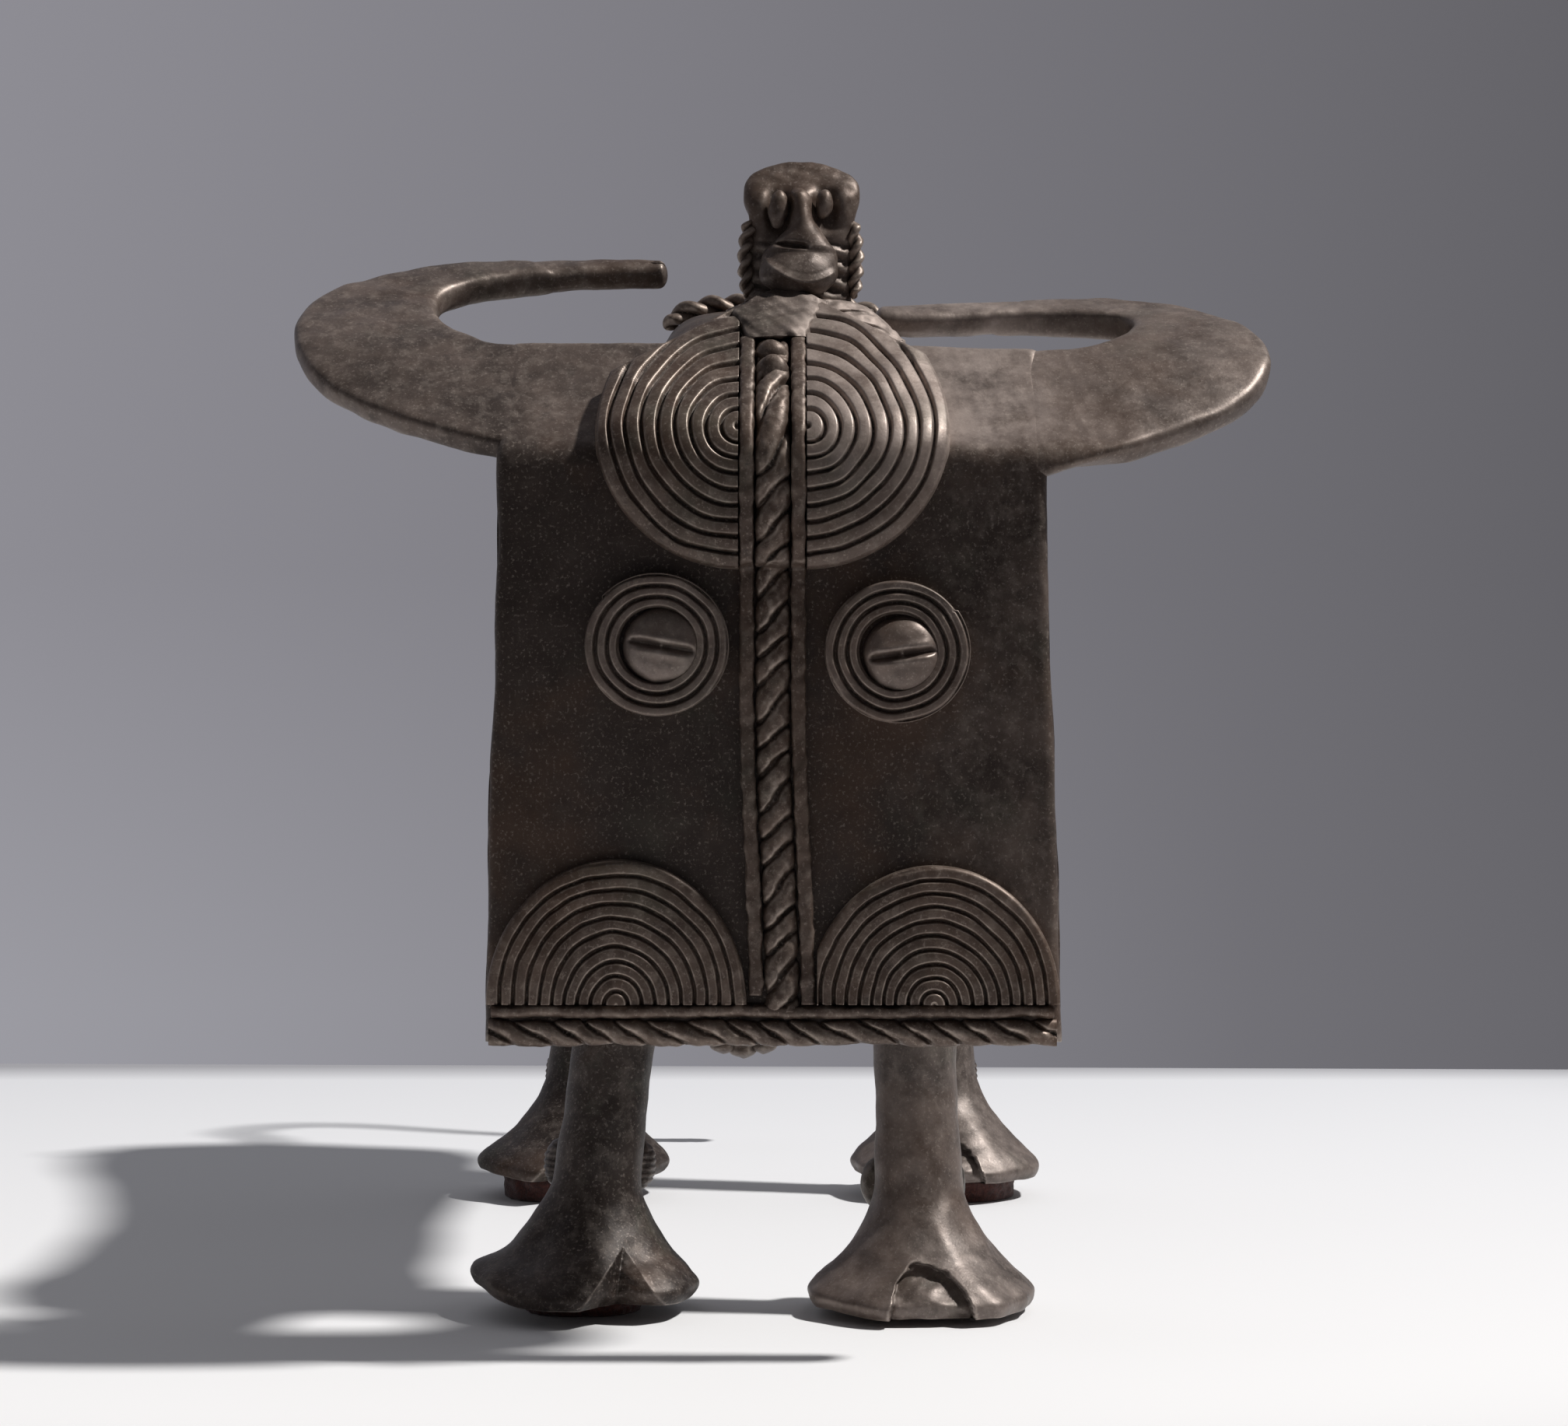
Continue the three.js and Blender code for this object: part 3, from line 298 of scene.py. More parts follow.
def on_mask(x, z, out):
    """Point over the flat of the mask: across, up, and out from its face."""
    x, y, z = np.broadcast_arrays(x, MASK_FRONT - out, z)
    return np.stack([x, y, z], -1)


def around(points, axis):
    """Neighbours one step on less neighbours one step back, along an axis of a grid whose rings close on
    axis 1."""
    if axis == 1:
        return np.roll(points, -1, 1) - np.roll(points, 1, 1)
    return np.gradient(points, axis=0)


def ring_normals(rings):
    """Unit normals of a surface through rings: the cross product of the steps between neighbours."""
    normal = np.cross(around(rings, 0), around(rings, 1))
    return normal / np.maximum(np.linalg.norm(normal, axis=2, keepdims=True), 1e-9)


def relief_of(rings, reach):
    """How hollow (above 0) or how raised (below 0) the surface is: the mean of the points a few steps away on
    both axes, less the point itself, along the surface's normal, over their mean distance."""
    padded = np.pad(rings, ((reach, reach), (0, 0), (0, 0)), mode="edge")
    count = len(rings)
    others = [
        padded[:count], padded[2 * reach:2 * reach + count],
        np.roll(rings, reach, 1), np.roll(rings, -reach, 1)]
    away = np.mean([np.linalg.norm(o - rings, axis=2) for o in others], 0)
    return np.sum((np.mean(others, 0) - rings) * ring_normals(rings), 2) / np.maximum(away, 1e-6)


def loft(rings, reach=2, closed=False, facing=None):
    """Surface through rings of points, each ring closed on itself. The ends get a fan to their middle point,
    or the last ring joins the first. Where a ring runs along a sheet and back behind it, facing is the sum of
    the numbers of any two points that face each other, and the ends get a strip between those. Gives points,
    faces and relief, with the faces turned outwards."""
    count, around_count = rings.shape[:2]
    i = np.arange(count if closed else count - 1)[:, None]
    j = np.arange(around_count)[None, :]
    after = (j + 1) % around_count
    on = (i + 1) % count
    quads = np.stack(np.broadcast_arrays(
        i * around_count + j, i * around_count + after, on * around_count + after, on * around_count + j),
        -1).reshape(-1, 4)
    points = rings.reshape(-1, 3)
    relief = relief_of(rings, reach).reshape(-1)
    fans = np.zeros((0, 3), int)
    if facing is not None:
        k = np.arange((facing + 1) // 2 - around_count // 2, (facing + 1) // 2 - 1)
        strip = np.stack([k, k + 1, facing - k - 1, facing - k], -1) % around_count
        strip = np.concatenate([strip[:, ::-1], strip + (count - 1) * around_count])
        quads = np.concatenate([quads, strip])
    elif not closed:
        k = np.arange(around_count)
        next_k = (k + 1) % around_count
        first = len(points)
        points = np.vstack([points, rings[0].mean(0), rings[-1].mean(0)])
        relief = np.append(relief, [0, 0])
        last_ring = (count - 1) * around_count
        fans = np.vstack([
            np.stack([np.full(around_count, first), next_k, k], -1),
            np.stack([np.full(around_count, first + 1), last_ring + k, last_ring + next_k], -1)])
    a, b, c, d = (points[quads[:, n]] for n in range(4))
    volume = np.sum(a * np.cross(b, c)) + np.sum(a * np.cross(c, d))
    for_fans = [points[fans[:, n]] for n in range(3)]
    volume += np.sum(for_fans[0] * np.cross(for_fans[1], for_fans[2]))
    if volume < 0:
        quads = quads[:, ::-1]
        fans = fans[:, ::-1]
    else:
        relief = -relief
    return points, quads.tolist() + fans.tolist(), relief


def piece(name, parts, material, *nodes, slot="bronze", dust_and_painted_light=None):
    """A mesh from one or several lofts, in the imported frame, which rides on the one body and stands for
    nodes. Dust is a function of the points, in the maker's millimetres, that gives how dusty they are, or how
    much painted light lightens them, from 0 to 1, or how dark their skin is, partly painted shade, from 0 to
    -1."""
    parts = parts if isinstance(parts, list) else [parts]
    points = np.vstack([p for p, _, _ in parts])
    starts = np.cumsum([0] + [len(p) for p, _, _ in parts])
    faces = [[start + v for v in face] for (_, fs, _), start in zip(parts, starts) for face in fs]
    mesh = bpy.data.meshes.new(name)
    mesh.from_pydata((ORIGIN + points * MM).tolist(), [], faces)
    mesh.shade_smooth()
    mesh.attributes.new("relief", "FLOAT", "POINT").data.foreach_set(
        "value", np.concatenate([r for _, _, r in parts]).astype(np.float32))
    mesh.attributes.new("dust_and_painted_light", "FLOAT", "POINT").data.foreach_set(
        "value", (dust_and_painted_light(points) if dust_and_painted_light else np.zeros(len(points))).astype(np.float32))
    mesh.materials.append(material)
    made = bpy.data.objects.new(name, mesh)
    bpy.context.scene.collection.objects.link(made)
    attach(made, "root")
    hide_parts(*nodes)
    return made


def roughened(rings, size, depth, seed):
    """The rings with each point moved along the surface's normal by random waves. The waves hang on the
    point's place alone, so that two pieces that meet move together."""
    return rings + ring_normals(rings) * (depth * waves(rings, size, seed))[..., None]


def cast_skin(rings):
    """The unevenness that the mask and the roots of the horns share."""
    return roughened(roughened(rings, 5.5, 0.05, 11), 1.7, 0.02, 12)


def mask_dust_and_painted_light(points):
    """Dust on the brow and a dark skin below it, with painted light: the brow gets a painted highlight on
    its right, and painted shade darkens the skin on the left and pales it on the right.
    """
    x, z = points[:, 0], points[:, 2]
    brow = smooth(FOLD_Z + 0.5, FOLD_Z + 3.5, z)
    # Painted light: the right of the brow and of the plate below it is lighter, where the lamp falls.
    right = smooth(6, 17, x) * (1 - 0.72 * smooth(20, 33, x))
    return brow * (0.10 + 0.94 * right) + (1 - brow) * (0.74 * smooth(8, 24, x) - 1)


def mask_half_width(along):
    """Half the mask's width at a place along its sheet, which grows evenly down to the chin."""
    down = np.clip((-along - 3) / (FOLD_Z - CHIN_Z - 3), 0, 1)
    return BROW_WIDTH / 2 + (CHIN_WIDTH - BROW_WIDTH) / 2 * down


def edge_arc(count, power=2.6):
    """Half turn round an edge, from front to back: how far out, 0 to 1, and the height, 0 to -1."""
    turn = steps(count + 1)[1:-1] * math.pi
    return squared(np.sin(turn), power), (squared(np.cos(turn), power) - 1) / 2


def mask_plate(material):
    """Upright sections from the brow's top down to the chin and up the back, carried across the mask. Near
    the sides, below the horns, a section thins about its middle as a rounded edge does."""
    out, drop = edge_arc(14)
    chin = CHIN_Z - FOLD_Z
    front = np.concatenate([
        np.linspace(BROW_REACH - EDGE_ROUND, 3.4, 34), np.linspace(3.0, -0.8, 16),
        np.linspace(-1.4, chin + EDGE_ROUND, 92)])
    down = np.concatenate([
        front, chin + EDGE_ROUND * (1 - out), front[::-1], BROW_REACH - EDGE_ROUND * (1 - out)])
    depth = np.concatenate([np.zeros(len(front)), drop, np.full(len(front), -1.0), drop[::-1]])
    bend = EDGE_ROUND / (BROW_WIDTH / 2)
    rim = bend * (1 - np.sin(steps(12)[1:-1] * UPRIGHT))
    side = np.concatenate([[0.0005], rim[::-1], np.linspace(bend, 1, 90)])
    side = np.concatenate([side - 1, (1 - side[:-1])[::-1]])[:, None]
    down = np.broadcast_to(down[None, :], (len(side), len(down)))
    inwards = (1 - np.abs(side)) * mask_half_width(down) / EDGE_ROUND
    thin = np.maximum(1 - np.clip(1 - inwards, 0, 1) ** 2.6, 0.0004) ** (1 / 2.6)
    height = MASK_THICKNESS * (-0.5 + (depth[None, :] + 0.5) * thin)
    wavy = 0.18 * waves(np.stack([side * 30 + 0 * down, down, 0 * down], -1), 9, 3)
    x = side * (mask_half_width(down) + wavy)
    tilt = -BROW_TILT * np.maximum((down - TILT_FROM) / (BROW_REACH - TILT_FROM), 0) * smooth(0.1, 1, side)
    rings = cast_skin(on_sheet(x, down + tilt, height))
    facing = 2 * len(front) + len(out) - 1
    return piece("mask_plate", loft(rings, 3, facing=facing), material, "face_plate", dust_and_painted_light=mask_dust_and_painted_light)


def horn_blade(name, horn, material):
    """Sections across the horn between its inner and outer edge, each a flat band with rounded ends, laid on
    the bent sheet and carried from inside the brow round to the tip, where they close in a round end. Inside
    the brow they thin, so that the mask covers the horn's root."""
    outer = np.array(horn["outer"], float)
    inner = np.array(horn["inner"], float)
    gaps = np.linalg.norm(np.diff((outer + inner) / 2, axis=0), axis=1) + 0.3 * np.linalg.norm(
        np.diff(outer, axis=0), axis=1)
    places = np.append(0, np.cumsum(gaps)) / gaps.sum()
    t = np.concatenate([
        np.linspace(0, HORN_TIP_START, 190), HORN_TIP_START + 0.015 * np.sin(steps(12)[1:] * UPRIGHT)])
    a = spline(inner, t, places)
    b = spline(outer, t, places)
    end = np.sqrt(np.maximum(1 - np.clip((t - HORN_TIP_START) / 0.0151, 0, 1) ** 2, 0))[:, None]
    middle = (a + b) / 2
    half = (b - a) / 2 * end
    width = 2 * np.linalg.norm(half, axis=1)[:, None]
    out, drop = edge_arc(16, 3.0)
    broad = smooth(0.02, 0.3, t)[:, None]
    outer_round = np.minimum(1.2 + 0.3 * broad, 0.48 * width)
    inner_round = np.minimum(1.2 + 0.6 * broad, 0.48 * width)
    flat = steps(26)[None, :]
    front = inner_round + (width - inner_round - outer_round) * flat
    across = np.concatenate([
        front, width - outer_round * (1 - out), front[:, ::-1], (inner_round * (1 - out))[:, ::-1]], 1)
    depth = np.concatenate([np.zeros(27), drop, np.full(27, -1.0), drop[::-1]])[None, :]
    thickness = (HORN_THICKNESS + (HORN_TIP_THICKNESS - HORN_THICKNESS) * t[:, None]) * np.maximum(end, 0.05)
    sunk = 0.05 * smooth(-0.2, -1.8, middle[:, 0:1]) + 0.14 * smooth(-1.6, -2.4, middle[:, 0:1])
    share = across / np.maximum(width, 1e-6) * 2 - 1
    flat_place = middle[:, None, :] + half[:, None, :] * share[..., None]
    swell = 0.25 * broad * (1 - share ** 2) * np.where(depth > -0.5, 1, -1)
    height = -MASK_THICKNESS / 2 + (depth + 0.5) * thickness * (1.012 - sunk) + swell * end
    x = horn["side"] * (BROW_WIDTH / 2 + flat_place[..., 0])
    rings = cast_skin(on_sheet(x, flat_place[..., 1], height, horn["far_slope"]))
    rings = roughened(rings, 6.5, 0.10 * smooth(0.04, 0.2, t)[:, None], 21)
    return piece(f"{name}_horn_blade", loft(rings, 2), material, f"{name}_horn", dust_and_painted_light=mask_dust_and_painted_light)


def dome_height(t):
    """Height of the forehead over the sheet: an ellipse from its middle (0) to its rim (1)."""
    return DOME_EDGE_HEIGHT + (DOME_HEIGHT - DOME_EDGE_HEIGHT) * np.sqrt(np.maximum(0, 1 - (0.94 * t) ** 2))


def along_seen(z_seen, height):
    """Where on the sheet a point at that height over it is seen from the front at z_seen, the height that it
    seems to have at the mask's front face. Found by halving a stretch of the sheet again and again."""
    low = np.full(np.broadcast(z_seen, height).shape, -30.0)
    high = low + 70
    for _ in range(24):
        along = (low + high) / 2
        y, z, slope = sheet_line(along)
        y = y - np.sin(slope) * height
        z = z + np.cos(slope) * height
        over = CAMERA_Z + (z - CAMERA_Z) * (CAMERA_Y - MASK_FRONT) / (CAMERA_Y - y) > z_seen
        high = np.where(over, along, high)
        low = np.where(over, low, along)
    return (low + high) / 2


def band_lift(along):
    """How far the forehead lifts the nose band that crosses it: the dome's height along its middle line."""
    t = np.linspace(-1, 0.95, 160)
    height = dome_height(np.abs(t))
    place = along_seen(DOME_CENTRE_Z + DOME_RADIUS * t, height)
    return np.interp(along, place, (height - DOME_EDGE_HEIGHT) * smooth(1.0, 0.95, -t), left=0)


def groove(ring, width=GROOVE_WIDTH):
    """1 in the groove between two threads and 0 on a thread, as exp of minus the cubed distance to the
    nearest whole ring number over the groove's width, with the thread's top a little round."""
    away = np.abs(ring - np.round(ring))
    return np.exp(-(away / width) ** 3) + 0.15 * (1 - 2 * away) ** 2


def relief_section(first, start, end, count, round_count, back):
    """Shares of a relief's radius: out from its middle, closer together where the rim rounds off as a quarter
    circle, and back under it. Gives also how far down the rim's rounding each is, from 0 to 1."""
    turn = steps(round_count)[1:] * UPRIGHT
    t = np.concatenate([[first], np.linspace(start, end, count), end + (1 - end) * np.sin(turn), back])
    rim = np.concatenate([np.zeros(count + 1), 1 - np.cos(turn), np.ones(len(back))])
    return t[None, :], rim[None, :]


def forehead_coil(name, side, material):
    """Half dome of concentric threads, round as seen from the front: for each turn from the chin's side up to
    the crown, a profile from the middle over all the grooves to the rim or to the crown's slanting line, down
    into the mask and back under the dome."""
    angle = np.linspace(-UPRIGHT, UPRIGHT, 190)[:, None]
    u, rim = relief_section(0.003, 0.012, 0.972, 18 * DOME_RINGS, 8, [1, 1, 0.6, 0.003])
    start = BAND_HALF_WIDTH - side * CROWN_X
    climb = np.sin(angle) + CROWN_FALL * np.cos(angle)
    crown = (CROWN_LINE - CROWN_FALL * start - DOME_CENTRE_Z) / (DOME_RADIUS * np.maximum(climb, 0.05))
    t = u * np.minimum(1, np.where(climb > 0.05, crown, 1))
    x = BAND_HALF_WIDTH + DOME_RADIUS * t * np.cos(angle)
    z = DOME_CENTRE_Z + DOME_RADIUS * t * np.sin(angle)
    flat = np.stack([side * x, z, 0 * x], -1)
    ring = DOME_RINGS * t + 0.10 * waves(flat, 9, 31) + 0.05 * waves(flat, 3.5, 32)
    smooth_height = dome_height(t)
    along = along_seen(z, smooth_height)
    height = smooth_height - GROOVE_DEPTH * groove(ring) * smooth(1.0, 0.93, u) + 0.07 * waves(flat, 4, 33)
    height = height - 0.75 * rim
    seat = np.zeros(u.shape[1])
    seat[-4:] = [0.7, 1, 1, 1]
    height = height * (1 - seat) - 0.6 * seat
    along = along + 2.0 * seat * smooth(0.3, 0.9, np.sin(angle))
    return piece(
        f"forehead_{name}_threads", loft(on_sheet(side * x, along, height), 2), material,
        f"forehead_coil_{name}", dust_and_painted_light=dome_dust_and_painted_light)


def band_lean(along):
    """The nose band leans towards the right below the eyes."""
    return 0.9 * smooth(-22, -52, along)


def two_strand(angle, radius, lay):
    """Radius of a rope of two strands at an angle: the far side of whichever round strand lies there. The
    plumper the strands, the shallower the valleys between them."""
    strand = ROPE_PLUMPNESS * radius
    away = (1 - ROPE_PLUMPNESS) * radius
    turned = angle - lay
    return away * np.abs(np.cos(turned)) + np.sqrt(strand ** 2 - (away * np.sin(turned)) ** 2)


def strip_section(count):
    """Angles over the top of a strip and back under it, and which of them are its seat under the mask's
    face."""
    angle = np.concatenate([np.linspace(0, math.pi, count), [math.pi, 0]])[None, :]
    return angle, np.arange(count + 2)[None, :] >= count


def flat_twist(run, half_width, high, pitch, slant):
    """Cross-sections of a twist pressed flat: leaf-shaped lumps, one a pitch, that slant across it and meet
    in narrow grooves. Gives how far across and how high, with a flat seat under the mask's face."""
    angle, seat = strip_section(41)
    share = squared(np.cos(angle), 2.9)
    bent = share - 0.35 * share * np.abs(share)
    phase = run / pitch - slant * bent
    away = np.abs(phase - np.round(phase))
    cut = np.exp(-(away / 0.085) ** 2)
    swell = 1 - (1 - 2 * away) ** 2
    height = high * squared(np.sin(angle), 2.7) * (0.74 + 0.26 * swell) - 0.45 * cut
    across = half_width * share * (0.89 + 0.11 * swell)
    return across + 0 * height, np.where(seat, -0.5, np.maximum(height, -0.1))


def nose_rope(material):
    """Flat twist down the nose and two pellets at its top. Its lumps are longer on the forehead."""
    along = np.linspace(BAND_TOP - 0.3, BAND_BOTTOM - 0.9, 540)[:, None]
    run = along * (1 - 0.32 * smooth(-3, 4, along)) + 0.35 * np.sin(along * 0.7)
    high = NOSE_ROPE_HEIGHT * (0.78 + 0.22 * smooth(BAND_TOP - 3.0, BAND_TOP - 4.2, along))
    across, height = flat_twist(run, NOSE_ROPE_HALF_WIDTH, high, LUMP_PITCH, LUMP_SLANT)
    height = np.where(height > -0.4, height + band_lift(along), height)
    rope_part = loft(roughened(on_sheet(band_lean(along) + across, along, height), 1.4, 0.06, 41), 2)
    pellets = [
        egg(on_sheet(-0.1, 11.6, 3.9), (1.5, 1.0, 1.45), -0.1),
        egg(on_sheet(0.05, 8.4, 4.25), (1.45, 0.9, 1.7), 0.12)]
    return piece("nose_rope_twist", [rope_part, *pellets], material, "nose_rope")


def egg(middle, radii, tilt):
    """Ball squashed to three radii and tilted: level rings of cosine radius, stacked by the sine of their
    height's angle."""
    rise = np.linspace(-0.98, 0.98, 20)[:, None] * UPRIGHT
    angle = turns(24)[None, :]
    x = radii[0] * np.cos(rise) * np.cos(angle)
    y = radii[1] * np.cos(rise) * np.sin(angle)
    z = radii[2] * np.sin(rise) + 0 * angle
    x, z = x * math.cos(tilt) + z * math.sin(tilt), z * math.cos(tilt) - x * math.sin(tilt)
    return loft(roughened(middle + np.stack([x, y, z], -1), 1.5, 0.04, 43), 1)


def nose_border(name, side, material):
    """Flat strip beside the nose rope, with rounded edges and straight walls down into the mask."""
    bottom = BAND_BOTTOM + (0.7 if name == "left" else -0.2)
    along = np.linspace(BAND_TOP, bottom, 300)[:, None]
    angle, seat = strip_section(17)
    width = STRIP_WIDTH * (1 + 0.10 * waves(np.stack([along, along, along], -1), 5, 45))
    top = band_lift(along) + STRIP_HEIGHT - 0.55 * (1 - squared(np.sin(angle), 3.2))
    top = np.where(seat, -0.5, top)
    x = side * STRIP_MIDDLE + band_lean(along) + width / 2 * squared(np.cos(angle), 3.2)
    return piece(
        f"nose_{name}_strip", loft(roughened(on_sheet(x, along, top), 1.3, 0.07, 46), 1), material,
        f"nose_border_{name}")


def eye_coil(name, material):
    """Thread wound three times round the eye: rings of a profile from the boss out to the rim. The groove
    winds outwards with the turn, and the outer end of the thread tapers off."""
    eye = EYES[name]
    angle = turns(220)[:, None]
    t, rim = relief_section(0, 0, 0.95, 46, 6, [1, 1, 0])
    wound = ((angle - eye["wound"]) % (2 * math.pi)) / (2 * math.pi)
    inner = EYE_BOSS_RADIUS + 0.15
    reach = EYE_COIL_RADIUS - inner + 0.22 * (wound - 0.5)
    radius = inner + reach * t
    x = eye["coil"][0] + radius * np.cos(angle)
    z = eye["coil"][1] + radius * 0.985 * np.sin(angle)
    flat = np.stack(np.broadcast_arrays(x, 0 * x, z), -1)
    ring = EYE_RINGS * t + 0.25 * (wound - 0.5) * t + 0.06 * waves(flat, 4, 51)
    out = EYE_COIL_HEIGHT - 0.62 * groove(ring, 0.16) * smooth(1.0, 0.9, t) + 0.06 * waves(flat, 3, 52)
    out = out - 0.55 * rim
    out[:, 0] = -0.4
    out[:, -3:] = [0.1, -0.4, -0.4]
    rings = on_mask(x, z, out)
    return piece(
        f"eye_{name}_coil", loft(rings, 2, closed=True), material, f"eye_coil_{name}", dust_and_painted_light=eye_dust)


def eye_boss(name, material):
    """Bean with a slit: rings that shrink to the top of a squashed ball, cut in by a narrow trough across
    it."""
    eye = EYES[name]
    climb = steps(40)[1:-1] * UPRIGHT
    share = np.concatenate([[1.0, 1.0], np.cos(climb) ** 0.8])[:, None]
    rise = np.concatenate([[-0.4, 0.25], 0.25 + (EYE_BOSS_HEIGHT - 0.25) * np.sin(climb) ** 0.75])[:, None]
    angle = turns(120)[None, :]
    radius = (EYE_BOSS_RADIUS + 0.3) * share
    across = radius * np.cos(angle)
    up = radius * np.sin(angle) * 0.97
    turn = eye["slit_turn"]
    slit_across = across * math.cos(turn) + up * math.sin(turn)
    slit_up = up * math.cos(turn) - across * math.sin(turn)
    trough = np.exp(-(slit_up / 0.30) ** 2) * smooth(3.5, 2.6, np.abs(slit_across))
    lips = np.exp(-((np.abs(slit_up) - 0.75) / 0.4) ** 2) * smooth(3.3, 2.2, np.abs(slit_across))
    out = rise - (0.85 * trough - 0.16 * lips) * smooth(0.2, 0.9, rise)
    rings = roughened(on_mask(eye["boss"][0] + across, eye["boss"][1] + up, out), 2.2, 0.04, 53)
    return piece(f"eye_{name}_boss", loft(rings, 2), material, f"eye_{name}", dust_and_painted_light=eye_dust)


def cheek_arcs(name, side, material):
    """Half circles of threads standing on the chin bar, as the forehead's domes but flat-topped."""
    middle, half_width, height = CHEEKS[name]
    angle = np.linspace(0, math.pi, 200)[:, None]
    t, rim = relief_section(0.003, 0.012, 0.965, 17 * CHEEK_RINGS, 7, [1, 1, 0.6, 0.003])
    x = middle + half_width * t * np.cos(angle)
    limit = mask_half_width(CHEEK_BASE - FOLD_Z) - 0.25
    x = side * np.minimum(side * x, limit)
    inner = BAND_HALF_WIDTH + 0.1 + (0.9 if name == "right" else -0.9)
    x = side * np.maximum(side * x, inner)
    z = CHEEK_BASE + height * t * np.sin(angle)
    flat = np.stack(np.broadcast_arrays(x, 0 * x, z), -1)
    ring = CHEEK_RINGS * t + 0.09 * waves(flat, 8, 61) + 0.05 * waves(flat, 3, 62)
    out = CHEEK_RELIEF - 0.48 * groove(ring) * smooth(1, 0.95, t) + 0.35 * np.exp(-(t / 0.14) ** 2)
    out = out + 0.07 * waves(flat, 4, 63) - 0.55 * rim
    out[:, -4:] = [0.2, -0.5, -0.5, -0.5]
    return piece(f"cheek_{name}_threads", loft(on_mask(x, z, out), 2), material, f"cheek_arcs_{name}")


def chin_bar(material):
    """Plain rounded strip across the mask above the chin rope."""
    x = np.linspace(-CHIN_HALF_WIDTH, CHIN_HALF_WIDTH, 260)[:, None]
    angle, seat = strip_section(15)
    z = CHIN_BAR_Z + CHIN_BAR_HALF_WIDTH * squared(np.cos(angle), 2.8)
    z = z + 0.12 * waves(np.stack([x, x, x], -1), 12, 65)
    out = CHIN_BAR_HEIGHT * squared(np.sin(angle), 2.8)
    out = np.where(seat, -0.5, out)
    rings = roughened(on_mask(x, z, out), 1.5, 0.06, 66)
    return piece("chin_bar_strip", loft(rings, 1), material, "chin_bar")


def chin_rope(material):
    """Flat twist along the mask's lower edge, flush with the bar over it."""
    x = np.linspace(-CHIN_HALF_WIDTH - 0.3, CHIN_HALF_WIDTH + 0.3, 620)[:, None]
    end = 0.4 + 0.6 * smooth(CHIN_HALF_WIDTH + 0.3, CHIN_HALF_WIDTH - 1.0, np.abs(x))
    run = x + 0.5 * np.sin(x * 0.37)
    up, out = flat_twist(run, CHIN_ROPE_HALF_WIDTH, CHIN_ROPE_HEIGHT * end, CHIN_LUMP_PITCH, CHIN_LUMP_SLANT)
    z = CHIN_ROPE_Z + up + 0.12 * waves(np.stack([x, x, x], -1), 14, 67)
    rings = roughened(on_mask(x, z, out), 1.5, 0.06, 68)
    return piece("chin_rope_twist", loft(rings, 2), material, "chin_rope")


def level_rings(middle, half_width, half_depth, angle):
    """Level ovals stacked up a line: the middle plus half width times cosine and half depth times sine."""
    x = middle[:, 0:1] + half_width[:, None] * np.cos(angle)
    y = middle[:, 1:2] + half_depth[:, None] * np.sin(angle)
    z = middle[:, 2:3] + 0 * angle
    return np.stack([x, y, z], -1)


def crown_saddle():
    """Foot of the hill, laid over the inner corners of the two domes and the gap between them. It widens from
    the nose band's top up to the domes' slanting upper edge, and its sides sink into the domes."""
    rise = steps(80)[:, None]
    angle, seat = strip_section(61)
    share = np.cos(angle)
    x = SADDLE_X + (SADDLE_HALF_WIDTH + SADDLE_SPREAD * smooth(0, 0.9, rise)) * share
    top_z = CROWN_LINE - 0.1 - CROWN_FALL * np.sqrt((x - CROWN_X) ** 2 + 1)
    z = SADDLE_FOOT + (top_z - SADDLE_FOOT) * rise
    away = np.hypot(np.maximum(np.abs(x) - BAND_HALF_WIDTH, 0), z - DOME_CENTRE_Z)
    over = 0.5 * smooth(1.0, 0.55, np.abs(share)) - 0.7 * smooth(0.8, 1.0, np.abs(share))
    dome = dome_height(np.clip(away / DOME_RADIUS, 0, 1))
    top = (dome + over * smooth(0, 0.2, rise)) * smooth(-0.05, 0.1, rise)
    along = along_seen(z, np.maximum(top, 0))
    return loft(roughened(on_sheet(x, along, np.where(seat, -0.5, top)), 1.8, 0.14, 70), 2)


def crown_dust_and_painted_shadow(points):
    """Dust on the right of the hill, and on its left a painted shadow of the small head, as a dark skin."""
    return 1.4 * smooth(-3.0, 5.5, points[:, 0]) - 0.4


def dome_dust_and_painted_light(points):
    """Dust and painted light on the forehead's right dome, most of all on its upper half, which faces the
    lamp.
    """
    return smooth(1, 4, points[:, 0]) * (0.18 + 0.82 * smooth(83, 90, points[:, 2]))


def eye_dust(points):
    """Some dust on both eyes."""
    return 0.36 - 0.06 * smooth(0, 1, points[:, 0])


def leg_dust_and_painted_light(points):
    """Dust on the hooves' flares, painted light on the right legs, and painted shade, as a dark skin, on the
    left legs.
    """
    return 0.14 * smooth(13, 7, points[:, 2]) + 0.66 * smooth(-2, 2, points[:, 0]) - 0.3


